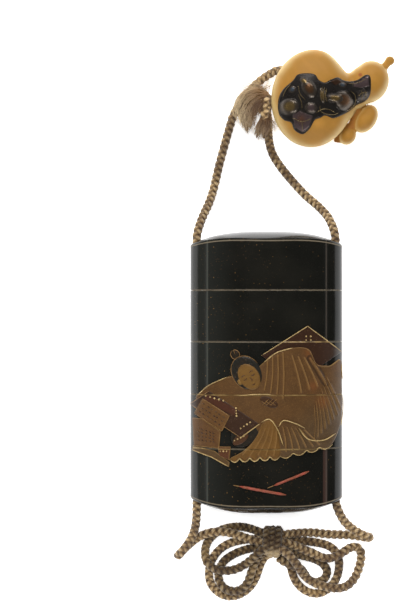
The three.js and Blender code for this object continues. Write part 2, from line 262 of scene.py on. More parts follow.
class Grower(Graph):
    """A Geometry Nodes tree with named inputs, which ends in real faces with a material."""

    def __init__(self, name, **inputs):
        tree = bpy.data.node_groups.new(name, "GeometryNodeTree")
        super().__init__(tree)
        tree.interface.new_socket("Geometry", in_out="OUTPUT", socket_type="NodeSocketGeometry")
        kinds = {"Line": "NodeSocketGeometry", "Material": "NodeSocketMaterial", **inputs}
        for key, kind in kinds.items():
            tree.interface.new_socket(key.replace("_", " "), in_out="INPUT", socket_type=kind)
        self.given = self.node("NodeGroupInput")

    def input(self, name):
        return self.other(self.given, name)

    def finish(self, geometry):
        real = self.node("GeometryNodeRealizeInstances", None, {0: geometry})
        covered = self.node("GeometryNodeSetMaterial", None, {0: real, "Material": self.input("Material")})
        self.node("NodeGroupOutput", None, {0: covered})
        return self.tree

    def store(self, geometry, name, value, kind="FLOAT"):
        sockets = {0: geometry, "Name": name, "Value": value}
        return self.node("GeometryNodeStoreNamedAttribute", {"data_type": kind, "domain": "POINT"}, sockets)


# Meshes


def shown(mesh, name, crease=35):
    """An object with this mesh, smooth but for creases sharper than a number of degrees."""
    mesh.name = name
    mesh.shade_smooth()
    mesh.set_sharp_from_angle(angle=math.radians(crease))
    made = bpy.data.objects.new(name, mesh)
    bpy.context.scene.collection.objects.link(made)
    return made


def grown(name, source, tree, **values):
    """The plain mesh that a tree makes of a source mesh, as a new object."""
    seed = bpy.data.objects.new(name + "_source", source)
    bpy.context.scene.collection.objects.link(seed)
    modifier = seed.modifiers.new("Grow", "NODES")
    modifier.node_group = tree
    keys = {item.name: item.identifier for item in tree.interface.items_tree if item.in_out == "INPUT"}
    for key, value in values.items():
        modifier[keys[key.replace("_", " ")]] = value
    graph = bpy.context.evaluated_depsgraph_get()
    mesh = bpy.data.meshes.new_from_object(seed.evaluated_get(graph))
    seed.modifiers.clear()
    bpy.data.objects.remove(seed)
    if not mesh.polygons:
        raise RuntimeError(name + " came out empty")
    return shown(mesh, name, 80)


def settled(piece, slot, *nodes):
    """Rides a finished piece on the body, and hides the CAD nodes that it stands in for."""
    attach(piece, "root")
    if nodes:
        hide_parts(*nodes)
    return piece


# Cord routes, as they are in the frame


AXIS_Z = 11.8

LEFT_ABOVE = [
    (-22.8, 42.8, AXIS_Z), (-22.8, 45.2, 11.7), (-22, 48.4, 10.4), (-20.6, 52.2, 7.5), (-18.8, 56.3, 4.5),
    (-17.2, 61.3, 2.2), (-15.6, 68.3, 1.4), (-13.9, 74.7, 1.4), (-12.4, 80.1, 1.4), (-10.5, 86, 1.4),
    (-7.4, 91.2, 1.4), (-3.4, 95.8, 1.4), (0.4, 98.9, 1.6), (3.6, 100.6, 2.5),
]
IN_NETSUKE = [
    (3.6, 100.6, 2.5), (6.8, 100.7, 3.7), (9.8, 99.2, 4.7), (11.2, 96.4, 5.1), (10.2, 93.3, 4.9),
    (7.2, 90.9, 4.3), (4, 89.5, 3.9), (0.6, 89, 4),
]
RIGHT_ABOVE = [
    (22.8, 42.8, AXIS_Z), (22.7, 45.2, 11.7), (21.9, 48.4, 10.3), (20.3, 51.9, 7.4), (17.3, 55.4, 4.4),
    (13.4, 59, 2.4), (9.2, 63.6, 1.5), (5.2, 68.5, 1.4), (2.4, 73, 1.4), (1.2, 77.6, 1.4),
    (1, 81.2, 1.5), (0.9, 84.6, 2.1), (0.2, 88, 3.6),
]
LEFT_BELOW = [
    (-22.8, -42.4, AXIS_Z), (-22.9, -44.8, 11.6), (-23, -48, 10.3), (-23.4, -51.2, 9), (-24.5, -54.4, 8.4),
    (-26.2, -57.2, 8.2), (-28.1, -59.7, 7.3), (-29, -60.9, 4.9), (-28.2, -60.2, 2.5), (-26.4, -58.6, 1.4),
    (-24.4, -56.8, 1.4), (-22.2, -55.1, 2.4), (-19.5, -53.7, 4), (-16.9, -53.1, 4.7), (-13.8, -53.1, 4.8),
    (-10.4, -53.8, 4.7), (-6.8, -55, 4.8), (-3.2, -56.2, 5), (0.5, -56.8, 5),
]
RIGHT_BELOW = [
    (22.8, -42.4, AXIS_Z), (23.5, -44.6, 11.6), (24.7, -47.2, 10.7), (26.4, -49.7, 9.6), (28.6, -51.6, 8.8),
    (31.2, -53.3, 8.2), (33.6, -54.4, 7.2), (34.6, -54.9, 4.8), (33.6, -55.2, 2.5), (31.2, -54.9, 1.4),
    (27.6, -54.5, 1.4), (24.2, -54.4, 1.4), (20.4, -54.2, 1.4), (16.6, -53.8, 1.4), (12.8, -53.7, 2.2),
    (9, -53.8, 3.8), (5, -54.2, 5.4),
]
BOW_LOOPS = {
    "bow_loop_left_upper": [
        (0.5, -54, 3.8), (-2.2, -53.2, 3), (-4.8, -52.4, 1.8), (-7.8, -51.8, 1.4), (-11.2, -51.9, 1.4),
        (-14.6, -52.8, 1.4), (-17.4, -54.6, 1.4), (-19.5, -57.3, 1.5),
        (-20.1, -60.3, 3.2), (-19.4, -63.2, 4.9),
        (-17.2, -65.2, 5), (-14.2, -66, 4.9), (-11.2, -65.8, 4.9), (-8.4, -64.8, 5.2), (-5.8, -63, 6.1),
        (-3.6, -61, 7.1), (-1.6, -59.1, 7.6), (0.6, -57.4, 7.2),
    ],
    "bow_loop_left_outer": [
        (0.4, -55.9, 2.2), (-2.8, -55.9, 1.7), (-5.6, -56, 1.4), (-8.6, -56.4, 1.4), (-11.6, -57.2, 1.4),
        (-14.4, -58.7, 1.4), (-16.6, -60.9, 1.4), (-18.2, -63.8, 1.4), (-18.8, -67, 1.4), (-18.4, -70.2, 1.4),
        (-16.5, -73, 1.4), (-13.4, -74.8, 1.4), (-9.9, -74.8, 1.4), (-6.9, -73.4, 1.4), (-4.6, -71.2, 1.4),
        (-3, -68.4, 1.4), (-2, -65.4, 1.4), (-0.8, -62.7, 1.5), (1.2, -60.4, 2),
    ],
    "bow_loop_left_inner": [
        (-0.2, -58.3, 2.8), (-2.9, -58.7, 2), (-5.6, -59.2, 1.4), (-8.6, -60.1, 1.4), (-11.3, -61.4, 1.4),
        (-13.7, -63.2, 1.4), (-15.2, -65.7, 1.8), (-15.6, -68.4, 3), (-14.8, -70.8, 3.9), (-12.8, -72.4, 4.2),
        (-10, -72.9, 4.2), (-7.6, -72, 4.2), (-5.9, -70, 4.2), (-4.9, -67.3, 4.2), (-4, -64.5, 4.2),
        (-2.7, -62, 4.2), (-0.9, -60, 4.5),
    ],
    "bow_loop_right_outer": [
        (5, -56.8, 2.7), (8.2, -56.6, 1.9), (11.2, -56.5, 1.4), (14.4, -56.7, 1.4), (17.8, -57.2, 1.4),
        (21, -58.1, 1.4), (23.4, -59.9, 1.4), (24.6, -62.8, 1.4), (24.6, -65.8, 1.4), (23.7, -69.2, 1.4),
        (21.4, -72.2, 1.4), (18, -74, 1.4), (14.4, -73.6, 1.4), (11.5, -71.6, 1.4), (9.7, -69, 1.4),
        (8.8, -66.2, 1.4), (8.3, -63.2, 1.4), (7, -60.8, 1.4), (4.8, -59, 1.6),
    ],
    "bow_loop_right_inner": [
        (4.6, -58.8, 4.6), (7.8, -59.7, 4.4), (10.7, -60.8, 3), (13.6, -61.7, 1.7), (16.5, -62.6, 1.4),
        (19.2, -64.1, 1.4), (20.7, -66.6, 1.4), (19.7, -69.2, 1.4), (17, -70.3, 1.4), (14.6, -69.5, 1.4),
        (13, -67.2, 1.4), (11.8, -65.6, 2.6), (9.6, -64.5, 4.1), (7, -63.5, 4.5), (4.4, -61.8, 4.8),
    ],
    "bow_loop_right_wide": [
        (4.4, -57.8, 7.6), (6.8, -59.6, 7.9), (8.9, -61.8, 7.6), (10.7, -64.2, 6.8), (12.2, -66.8, 5.3),
        (14.4, -69, 4.6), (17.4, -70.6, 4.4), (20.8, -71.5, 4.7), (24.2, -71.9, 4.7), (27.3, -71.2, 3.2),
        (29.7, -69.1, 1.7), (31.1, -66.2, 1.4), (31.9, -63.2, 1.4), (32, -60.4, 1.4), (30.6, -58.6, 1.9),
        (28.2, -58.6, 3), (25.9, -59.9, 4.2), (23.6, -61.2, 4.6), (21.2, -61.9, 4.6), (18.8, -61.6, 4.5),
        (15.8, -60.2, 4.5), (12.8, -59, 4.6), (9.8, -57.6, 5.2), (6.8, -56.6, 5.8), (4, -56.4, 6),
    ],
}


# The inner loops of the bow wear a darker copy of the silk: painted shade inside the bow.
SHADED_LOOPS = ("bow_loop_left_inner", "bow_loop_right_inner", "bow_loop_left_upper")


def smooth_line(points, step=0.4, closed=False):
    """A centripetal Catmull-Rom line through the points, as evenly spaced points."""
    places = np.array(points, float)
    if closed:
        places = np.vstack([places[-1], places, places[:2]])
    else:
        places = np.vstack([2 * places[0] - places[1], places, 2 * places[-1] - places[-2]])
    drawn = []
    for p0, p1, p2, p3 in zip(places, places[1:], places[2:], places[3:]):
        d0, d1, d2 = (max(math.dist(a, b) ** 0.5, 1e-3) for a, b in ((p0, p1), (p1, p2), (p2, p3)))
        start = ((p1 - p0) / d0 - (p2 - p0) / (d0 + d1) + (p2 - p1) / d1) * d1
        end = ((p2 - p1) / d1 - (p3 - p1) / (d1 + d2) + (p3 - p2) / d2) * d1
        t = np.linspace(0, 1, 24, endpoint=False)[:, None]
        cubic = 2 * p1 - 2 * p2 + start + end
        square = 3 * (p2 - p1) - 2 * start - end
        drawn.append(p1 + start * t + square * t**2 + cubic * t**3)
    drawn.append(places[-2][None, :])
    return evenly(np.vstack(drawn), step)


def evenly(line, step):
    """The same line with its points an even distance apart."""
    run = np.concatenate([[0], np.cumsum(np.linalg.norm(np.diff(line, axis=0), axis=1))])
    marks = np.linspace(0, run[-1], max(2, round(run[-1] / step) + 1))
    return np.column_stack([np.interp(marks, run, line[:, k]) for k in range(line.shape[1])])


def sides_along(line, first=(0, 0, 1)):
    """A direction square to the line at each point, carried along it without twist."""
    along = np.gradient(line, axis=0)
    along /= np.linalg.norm(along, axis=1)[:, None]
    side = np.array(first, float)
    sides = []
    for direction in along:
        side = side - direction * side.dot(direction)
        side /= np.linalg.norm(side)
        sides.append(side)
    return np.array(sides)


def line_mesh(lines, first=(0, 0, 1), **values):
    """Lines in millimetres as one mesh of edges in metres, with their side directions and other values."""
    mesh = bpy.data.meshes.new("line")
    edges = []
    start = 0
    for line in lines:
        edges += [(start + i, start + i + 1) for i in range(len(line) - 1)]
        start += len(line)
    mesh.from_pydata((np.vstack(lines) * MM).tolist(), edges, [])
    side = mesh.attributes.new("side", "FLOAT_VECTOR", "POINT")
    side.data.foreach_set("vector", np.vstack([sides_along(line, first) for line in lines]).ravel())
    for name, numbers in values.items():
        mesh.attributes.new(name, "FLOAT", "POINT").data.foreach_set("value", np.ravel(numbers))
    return mesh


def braid_tree():
    """A round braid of four strands, each over one and under the next, along a line."""
    lengths = ["Strand Radius", "Core Radius", "Weave Depth", "Pitch", "Step"]
    g = Grower("Round braid", **{name: "NodeSocketFloat" for name in lengths})
    curve = g.node("GeometryNodeMeshToCurve", None, {0: g.input("Line")})
    curve = g.node("GeometryNodeResampleCurve", {"mode": "LENGTH"}, {0: curve, "Length": g.input("Step")})
    travelled = g.node("GeometryNodeSplineParameter", out="Length")
    side = g.node("GeometryNodeInputNamedAttribute", {"data_type": "FLOAT_VECTOR"}, {0: "side"})
    across = g.vector("CROSS_PRODUCT", g.node("GeometryNodeInputTangent"), side)
    turn = travelled * (2 * math.pi) / g.input("Pitch")
    swing = (turn * 2 - math.pi / 2).cosine()
    circle = g.node(
        "GeometryNodeCurvePrimitiveCircle", None, {"Resolution": 8, "Radius": g.input("Strand Radius")}
    )
    ring = g.store(circle, "ring", g.node("GeometryNodeInputPosition"), "FLOAT_VECTOR")
    strands = []
    for way in (1, -1):
        for half in (0, 1):
            angle = turn * way + (half * math.pi + (math.pi / 2 if way < 0 else 0))
            lift = swing * way
            reach = lift * g.input("Weave Depth") + g.input("Core Radius")
            offset = g.vector(
                "ADD",
                g.node(
                    "ShaderNodeVectorMath", {"operation": "SCALE"},
                    {0: side, "Scale": angle.cosine() * reach},
                ),
                g.node(
                    "ShaderNodeVectorMath", {"operation": "SCALE"},
                    {0: across, "Scale": angle.sine() * reach},
                ),
            )
            strand = g.store(g.store(curve, "lift", lift), "along", travelled)
            strand = g.node("GeometryNodeSetPosition", None, {0: strand, "Offset": offset})
            strands.append(
                g.node("GeometryNodeCurveToMesh", None, {0: strand, "Profile Curve": ring, "Fill Caps": True})
            )
    braid = g.node("GeometryNodeJoinGeometry", None, {0: strands})
    middle = g.node(
        "GeometryNodeProximity", {"target_element": "EDGES"}, {0: g.input("Line")}, out="Distance"
    )
    braid = g.store(braid, "rise", middle)
    place = g.node("GeometryNodeInputPosition")
    apart = g.node("ShaderNodeSeparateXYZ", None, {0: place})
    height = g.other(apart, "Z").most(0.0)
    on_table = g.node("ShaderNodeCombineXYZ", None, {0: apart, 1: g.other(apart, "Y"), 2: height})
    return g.finish(g.node("GeometryNodeSetPosition", None, {0: braid, "Position": on_table}))


def fibre_tree():
    """A brush of loose fibres round one guide line, spread apart by the line's own spread value."""
    g = Grower(
        "Loose fibres", Count="NodeSocketInt", Thickness="NodeSocketFloat", Fray="NodeSocketFloat",
        Seed="NodeSocketInt",
    )
    curve = g.node("GeometryNodeMeshToCurve", None, {0: g.input("Line")})
    copies = g.node(
        "GeometryNodeDuplicateElements", {"domain": "SPLINE"}, {0: curve, "Amount": g.input("Count")}
    )
    number = g.other(copies, "Duplicate Index")

    def chance(low, high, offset):
        sockets = {2: low, 3: high, "ID": number, "Seed": g.input("Seed") + offset}
        return g.node("FunctionNodeRandomValue", {"data_type": "FLOAT"}, sockets, out=1)

    share = g.node("GeometryNodeSplineParameter", out="Factor")
    spread = g.node("GeometryNodeInputNamedAttribute", {"data_type": "FLOAT"}, {0: "spread"})
    side = g.node("GeometryNodeInputNamedAttribute", {"data_type": "FLOAT_VECTOR"}, {0: "side"})
    across = g.vector("CROSS_PRODUCT", g.node("GeometryNodeInputTangent"), side)
    out = chance(0.0, 1.0, 0) ** 0.5 * spread
    angle = chance(0.0, 2 * math.pi, 1)
    place = g.node("GeometryNodeInputPosition")
    seed_place = g.vector(
        "ADD", place, g.node("ShaderNodeCombineXYZ", None, {0: number * 0.37, 1: number * 0.11}),
    )
    wander = g.vector(
        "SUBTRACT",
        g.node(
            "ShaderNodeTexNoise", None, {"Vector": seed_place, "Scale": 170.0, "Detail": 1.0}, out="Color",
        ),
        (0.5, 0.5, 0.5),
    )
    sway = share ** 1.5 * g.input("Fray")
    offset = g.vector(
        "ADD",
        g.vector(
            "ADD",
            g.node("ShaderNodeVectorMath", {"operation": "SCALE"}, {0: side, "Scale": angle.cosine() * out}),
            g.node("ShaderNodeVectorMath", {"operation": "SCALE"}, {0: across, "Scale": angle.sine() * out}),
        ),
        g.node("ShaderNodeVectorMath", {"operation": "SCALE"}, {0: wander, "Scale": sway}),
    )
    hair = g.store(copies, "share", share)
    hair = g.store(hair, "shade", chance(0.0, 1.0, 2))
    hair = g.node("GeometryNodeSetPosition", None, {0: hair, "Offset": offset})
    hair = g.node("GeometryNodeTrimCurve", {"mode": "FACTOR"}, {0: hair, "End": chance(0.72, 1.0, 3)})
    thin = g.node("GeometryNodeSplineParameter", out="Factor").ramp(0.6, 1.0, 1.0, 0.35)
    circle = g.node(
        "GeometryNodeCurvePrimitiveCircle", None, {"Resolution": 4, "Radius": g.input("Thickness")}
    )
    made = g.node(
        "GeometryNodeCurveToMesh", None, {0: hair, "Profile Curve": circle, "Scale": thin, "Fill Caps": True}
    )
    return g.finish(made)


# Solids made from plan outlines, rings and lines


def closed_mesh(name, points, faces, **values):
    """A mesh in metres from points in millimetres, with its faces turned outwards."""
    mesh = bpy.data.meshes.new(name)
    mesh.from_pydata((np.asarray(points) * MM).tolist(), [], faces)
    paint(mesh, **values)
    work = bmesh.new()
    work.from_mesh(mesh)
    bmesh.ops.recalc_face_normals(work, faces=work.faces)
    work.to_mesh(mesh)
    work.free()
    return mesh


def paint(mesh, **values):
    """Stores values on a mesh's points: numbers as floats, rows of four as colours."""
    for name, numbers in values.items():
        numbers = np.asarray(numbers, float)
        if numbers.ndim == 2:
            mesh.attributes.new(name, "FLOAT_COLOR", "POINT").data.foreach_set("color", numbers.ravel())
        else:
            mesh.attributes.new(name, "FLOAT", "POINT").data.foreach_set("value", numbers)


def loft(start, rings, end):
    """Points and faces of a closed skin over rings of points, with a point at each end."""
    rings = np.asarray(rings, float)
    count, sides = rings.shape[:2]
    last = 1 + (count - 1) * sides
    faces = []
    for j in range(sides):
        k = (j + 1) % sides
        faces += [(0, 1 + k, 1 + j), (last + j, last + k, last + sides)]
        faces += [(a + j, a + k, a + sides + k, a + sides + j) for a in range(1, last, sides)]
    return np.vstack([[start], rings.reshape(-1, 3), [end]]), faces


def rod(line, radii, sides=12):
    """A round solid along a line, as thick as its radii say."""
    side = sides_along(line)
    along = np.gradient(line, axis=0)
    across = np.cross(along / np.linalg.norm(along, axis=1)[:, None], side)
    radii = np.broadcast_to(radii, len(line))[:, None, None]
    angle = np.linspace(0, 2 * math.pi, sides, endpoint=False)[None, :, None]
    rings = line[:, None] + radii * (side[:, None] * np.cos(angle) + across[:, None] * np.sin(angle))
    return loft(line[0], rings, line[-1])


def egg(centre, radii, turn=0.0, sides=40, rows=24):
    """An ellipsoid turned about the vertical."""
    angle = np.linspace(0, 2 * math.pi, sides, endpoint=False)
    polar = np.linspace(0, math.pi, rows + 1)[1:-1]
    rings = np.array([
        np.column_stack([np.sin(p) * np.cos(angle), np.sin(p) * np.sin(angle), np.full(sides, np.cos(p))])
        for p in polar
    ])
    points, faces = loft((0, 0, 1), rings, (0, 0, -1))
    points = points * np.asarray(radii, float)
    c, s = math.cos(turn), math.sin(turn)
    return points @ np.array([[c, s, 0], [-s, c, 0], [0, 0, 1]]) + np.asarray(centre, float), faces


def gathered(parts):
    """Several solids' points and faces as one list of each."""
    faces = []
    start = 0
    for points, own in parts:
        faces += [tuple(start + i for i in face) for face in own]
        start += len(points)
    return np.vstack([points for points, own in parts]), faces


def changed(mesh, *steps):
    """The mesh that modifiers make of another: each step is a kind and its settings."""
    thing = bpy.data.objects.new("changed", mesh)
    bpy.context.scene.collection.objects.link(thing)
    for kind, settings in steps:
        modifier = thing.modifiers.new(kind, kind)
        for key, value in settings.items():
            setattr(modifier, key, value)
    graph = bpy.context.evaluated_depsgraph_get()
    made = bpy.data.meshes.new_from_object(thing.evaluated_get(graph))
    bpy.data.objects.remove(thing)
    return made


def cut(mesh, tool):
    """The mesh less a solid tool."""
    other = bpy.data.objects.new("tool", tool)
    bpy.context.scene.collection.objects.link(other)
    made = changed(mesh, ("BOOLEAN", {"operation": "DIFFERENCE", "object": other, "solver": "EXACT"}))
    bpy.data.objects.remove(other)
    return made


def away_from(points, line, closed=True):
    """How far each plan point is from a line of plan points."""
    starts = np.asarray(line, float)
    ends = np.roll(starts, -1, axis=0) if closed else starts[1:]
    starts = starts if closed else starts[:-1]
    best = np.full(len(points), 1e9)
    for a, b in zip(starts, ends):
        along = b - a
        share = np.clip((points - a) @ along / max(along @ along, 1e-12), 0, 1)
        best = np.minimum(best, np.hypot(*(points - a - share[:, None] * along).T))
    return best


def within(points, outline):
    """Which plan points lie inside a closed outline."""
    x, y = points.T
    found = np.zeros(len(points), bool)
    for (ax, ay), (bx, by) in zip(outline, np.roll(outline, -1, axis=0)):
        if ay == by:
            continue
        crosses = (ay > y) != (by > y)
        found ^= crosses & (x < (bx - ax) * (y - ay) / (by - ay) + ax)
    return found


def plan_line(points, step=0.4, closed=False):
    flat = [(x, y, 0.0) for x, y in points]
    return smooth_line(flat, step, closed)[:, :2]


def plate(outline, place, lift, sink=0.35, spacing=0.33, rows=(0.1, 0.22, 0.4), smooth=False, marks=()):
    """A closed solid over an outline. Place lays plan points on the ground at a height above it."""
    outline = np.asarray(outline, float)
    if smooth:
        edge = plan_line(outline, spacing * 0.8, closed=True)[:-1]
    else:
        edge = evenly(np.vstack([outline, outline[:1]]), spacing * 0.8)[:-1]
    low, high = edge.min(axis=0), edge.max(axis=0)
    across, along = np.meshgrid(np.arange(low[0], high[0], spacing), np.arange(low[1], high[1], spacing))
    across[1::2] += spacing / 2
    grid = np.column_stack([across.ravel(), along.ravel()])
    grid = grid[within(grid, edge)]
    grid = grid[away_from(grid, edge) > rows[-1] + spacing * 0.4]
    if np.sum(edge[:, 0] * np.roll(edge[:, 1], -1) - edge[:, 1] * np.roll(edge[:, 0], -1)) < 0:
        edge = edge[::-1]
    ahead = np.roll(edge, -1, axis=0) - np.roll(edge, 1, axis=0)
    inward = np.column_stack([-ahead[:, 1], ahead[:, 0]]) / np.linalg.norm(ahead, axis=1)[:, None]
    free = [grid]
    for row in rows:
        inset = edge + inward * row
        free.append(inset[within(inset, edge) & (away_from(inset, edge) > row * 0.92)])
    for mark in marks:
        level = np.column_stack([np.arange(low[0], high[0], spacing * 0.7)] * 2)
        level[:, 1] = mark
        free.append(level[within(level, edge) & (away_from(level, edge) > rows[0])])
    loose = np.vstack(free)
    count = len(edge)
    links = [(i, (i + 1) % count) for i in range(count)]
    every = [Vector(point) for point in np.vstack([edge, loose])]
    drawn, _, top, origins, _, _ = delaunay_2d_cdt(every, links, [], 1, 1e-6)
    base, _, bottom, base_origins, _, _ = delaunay_2d_cdt(every[:count], links, [], 1, 1e-6)
    plan = np.array([tuple(point) for point in drawn])
    inset = away_from(plan, edge)
    upper = place(plan, lift(plan, inset))
    under = np.array([tuple(point) for point in base])
    lower = place(under, np.full(len(under), -sink))
    at_top = {first: i for i, sources in enumerate(origins) for first in sources if first < count}
    at_base = {first: i for i, sources in enumerate(base_origins) for first in sources}
    shift = len(plan)
    faces = [tuple(face) for face in top] + [tuple(shift + i for i in reversed(face)) for face in bottom]
    for i, k in links:
        faces.append((at_top[i], shift + at_base[i], shift + at_base[k], at_top[k]))
    return np.vstack([upper, lower]), faces, np.concatenate([inset, np.zeros(len(under))])


def blend(a, b, share):
    """Rows of colours between a and b."""
    share = np.asarray(share, float)[:, None]
    return np.asarray(a) * (1 - share) + np.asarray(b) * share


def gently(value, low, high):
    """From 0 to 1 as the value goes from low to high."""
    t = np.clip((value - low) / (high - low), 0, 1)
    return t * t * (3 - 2 * t)


def wire_tree():
    """A round wire along each line, as thick as the line's own girth."""
    g = Grower("Wire", Sides="NodeSocketInt")
    curve = g.node("GeometryNodeMeshToCurve", None, {0: g.input("Line")})
    girth = g.node("GeometryNodeInputNamedAttribute", {"data_type": "FLOAT"}, {0: "girth"})
    circle = g.node("GeometryNodeCurvePrimitiveCircle", None, {"Resolution": g.input("Sides"), "Radius": 1.0})
    made = g.node(
        "GeometryNodeCurveToMesh", None,
        {0: curve, "Profile Curve": circle, "Scale": girth, "Fill Caps": True}
    )
    return g.finish(made)


def bead_tree():
    """A round bead on each point, as large as the point's own girth."""
    g = Grower("Beads", Detail="NodeSocketInt")
    girth = g.node("GeometryNodeInputNamedAttribute", {"data_type": "FLOAT"}, {0: "girth"})
    ball = g.node("GeometryNodeMeshIcoSphere", None, {"Radius": 1.0, "Subdivisions": g.input("Detail")})
    placed = g.node(
        "GeometryNodeInstanceOnPoints", None, {0: g.input("Line"), "Instance": ball, "Scale": girth}
    )
    return g.finish(placed)


# The case


HALF_WIDTH = 25.0
HALF_DEPTH = 12.0
SEAMS_Y = [27.2, 10.4, -6.8, -24.3]
SEAM_GAP = 0.1
CROWN_Y = {1: 46.6, -1: 46.17}
CROWN_DROP = {1: 4.4, -1: 5.15}
CROWN_ROLL = 2.75
CROWN_POWER = 2.9
RIM = 0.7
TUNNEL_X = 22.8


def case_ring(side_inset, front_inset, height):
    """One ring round the case; height gives its y at a share of the width and a share of the depth."""
    angle = np.linspace(0, 2 * math.pi, 192, endpoint=False)
    side = (HALF_WIDTH - side_inset) * np.sin(angle) / HALF_WIDTH
    front = (HALF_DEPTH - front_inset) * np.cos(angle) / HALF_DEPTH
    y = height(side, front) if callable(height) else np.full(len(angle), height)
    return np.column_stack([HALF_WIDTH * side, y, np.maximum(0, AXIS_Z + HALF_DEPTH * front)])


def rounded(joint, way):
    """The rings of a rounded edge, from a joint out to the wall on one side of it."""
    turns = np.linspace(0, math.pi / 2, 4)
    insets = [(0.2 - 0.2 * math.sin(turn), joint + way * (0.2 - 0.2 * math.cos(turn))) for turn in turns]
    return [case_ring(inset, inset, y) for inset, y in insets]


def crown(sign):
    """The rings of a crown from the wall inwards, round its rim."""
    def height(drop_out):
        def at(side, front):
            fall = CROWN_DROP[sign] * np.abs(side) ** CROWN_POWER + CROWN_ROLL * front**2
            return sign * (CROWN_Y[sign] - fall - drop_out)
        return at

    rings = []
    for turn in np.linspace(0, math.pi / 2, 7):
        inset = 0.018 * (1 - math.cos(turn))
        rings.append(case_ring(inset * HALF_WIDTH, inset * HALF_DEPTH, height(RIM * (1 - math.sin(turn)))))
    for share in np.linspace(0.96, 0.04, 24):
        rings.append(case_ring((1 - share) * HALF_WIDTH, (1 - share) * HALF_DEPTH, height(0)))
    return rings


def case_pieces():
    """The five pieces from the lid down, each a socket, a wall and a riser round its hollow."""
    socket = lambda y: case_ring(6.4, 1.5, y)
    riser = lambda y: case_ring(6.7, 1.8, y)
    hollow = lambda y: case_ring(7.7, 2.8, y)
    middle = lambda y: (0, y, AXIS_Z)
    gap = SEAM_GAP / 2
    roof, floor = CROWN_Y[1] - 4.8, -CROWN_Y[-1] + 4.8
    foot = SEAMS_Y[0] + gap
    lid = [hollow(roof), hollow(foot + 3.8), socket(foot + 3.8), socket(foot), *rounded(foot, 1), *crown(1)]
    made = {"lid": loft(middle(roof), lid, middle(CROWN_Y[1]))}
    for name, above, below in zip(("upper_box", "middle_box", "lower_box"), SEAMS_Y, SEAMS_Y[1:]):
        foot, top = below + gap, above - gap
        rings = [
            socket(foot + 3.8), socket(foot), *rounded(foot, 1), *rounded(top, -1)[::-1], riser(top),
            riser(top + 3.5), hollow(top + 3.5), hollow(foot + 4.8),
        ]
        made[name] = loft(middle(foot + 3.8), rings, middle(foot + 4.8))
    top = SEAMS_Y[-1] - gap
    rings = [
        *crown(-1)[::-1], *rounded(top, -1)[::-1], riser(top),
        riser(top + 3.5), hollow(top + 3.5), hollow(floor),
    ]
    made["bottom_box"] = loft(middle(-CROWN_Y[-1]), rings, middle(floor))
    return made


def on_front(plan, lift):
    """Plan points laid on the front of the case and raised along its normal."""
    x = np.clip(plan[:, 0], -24.9, 24.9)
    height = HALF_DEPTH * np.sqrt(1 - (x / HALF_WIDTH) ** 2)
    normal = np.column_stack([x / HALF_WIDTH**2, np.zeros(len(x)), height / HALF_DEPTH**2])
    normal /= np.linalg.norm(normal, axis=1)[:, None]
    return np.column_stack([x, plan[:, 1], AXIS_Z + height]) + normal * np.asarray(lift)[:, None]


# The picture: a figure asleep beside a board, a tray and some pages, set out on the case's front


PALE_GOLD = tone(196, 168, 112)
DULL_GOLD = tone(140, 104, 58)
RED_LACQUER = tone(148, 66, 50)
INK = tone(58, 34, 20)
WRITTEN = tone(44, 25, 16)


def oval(centre, long, wide, turn=0, start=0, end=360, count=20):
    """An oval, or a stretch of it between two angles, turned about its centre."""
    angle = np.radians(np.linspace(start, end, count, endpoint=end - start < 360))
    tilt = math.radians(turn)
    along, across = long * np.cos(angle), wide * np.sin(angle)
    x = centre[0] + along * math.cos(tilt) - across * math.sin(tilt)
    y = centre[1] + along * math.sin(tilt) + across * math.cos(tilt)
    return list(zip(x, y))


def slab(corner, first, second):
    """A four-sided board from a corner and its two edges."""
    (x, y), (ax, ay), (bx, by) = corner, first, second
    return [(x, y), (x + ax, y + ay), (x + ax + bx, y + ay + by), (x + bx, y + by)]


def between(start, end, share):
    return tuple(np.array(start, float) * (1 - share) + np.array(end, float) * share)


def scallops(start, end, count, depth):
    """A hem from one point to another that hangs in small curves."""
    hem = []
    for step in range(count * 4 + 1):
        x, y = between(start, end, step / (count * 4))
        hem.append((x, y - depth * abs(math.sin(math.pi * step / 4))))
    return hem


def pleats(count, starts, ends, sag=0.3):
    """Folds spread evenly from one line to another, each with a slight sag."""
    lines = []
    for share in np.linspace(0, 1, count):
        start, end = between(*starts, share), between(*ends, share)
        x, y = between(start, end, 0.5)
        lines.append([start, (x + sag, y - sag), end])
    return lines


# The head, by usual proportions: the eyes halfway down the face,
# and the face three quarters as wide as it is long.
HEAD = (-6.6, 0.4)
HEAD_LENGTH = 11.6
FACE_SHARE = 0.8
HEAD_TURN = 122
FACE_LENGTH = HEAD_LENGTH * FACE_SHARE
FACE_WIDTH = FACE_LENGTH * 0.74


def on_head(across, up):
    """A plan point from shares of half the face's width and half its length."""
    tilt = math.radians(HEAD_TURN)
    u, v = -across * FACE_WIDTH / 2, up * FACE_LENGTH / 2
    centre = on_skull(-0.24)
    return (
        centre[0] + v * math.cos(tilt) - u * math.sin(tilt),
        centre[1] + v * math.sin(tilt) + u * math.cos(tilt),
    )


def on_skull(up):
    """A point on the head's middle line, by its share of half the head's length from the centre."""
    tilt = math.radians(HEAD_TURN)
    return (HEAD[0] + up * HEAD_LENGTH / 2 * math.cos(tilt), HEAD[1] + up * HEAD_LENGTH / 2 * math.sin(tilt))


def feature(across, up, half, bow):
    """One curved stroke of the face."""
    return [on_head(across - half, up), on_head(across, up + bow), on_head(across + half, up)]


FACE_STROKES = [
    *(feature(side * 0.42, 0.2, 0.2, 0.07) for side in (-1, 1)),
    *(feature(side * 0.42, 0.0, 0.18, -0.07) for side in (-1, 1)),
    [on_head(0, -0.05), on_head(0.1, -0.32), on_head(-0.04, -0.36)],
    feature(0, -0.6, 0.18, -0.05),
]

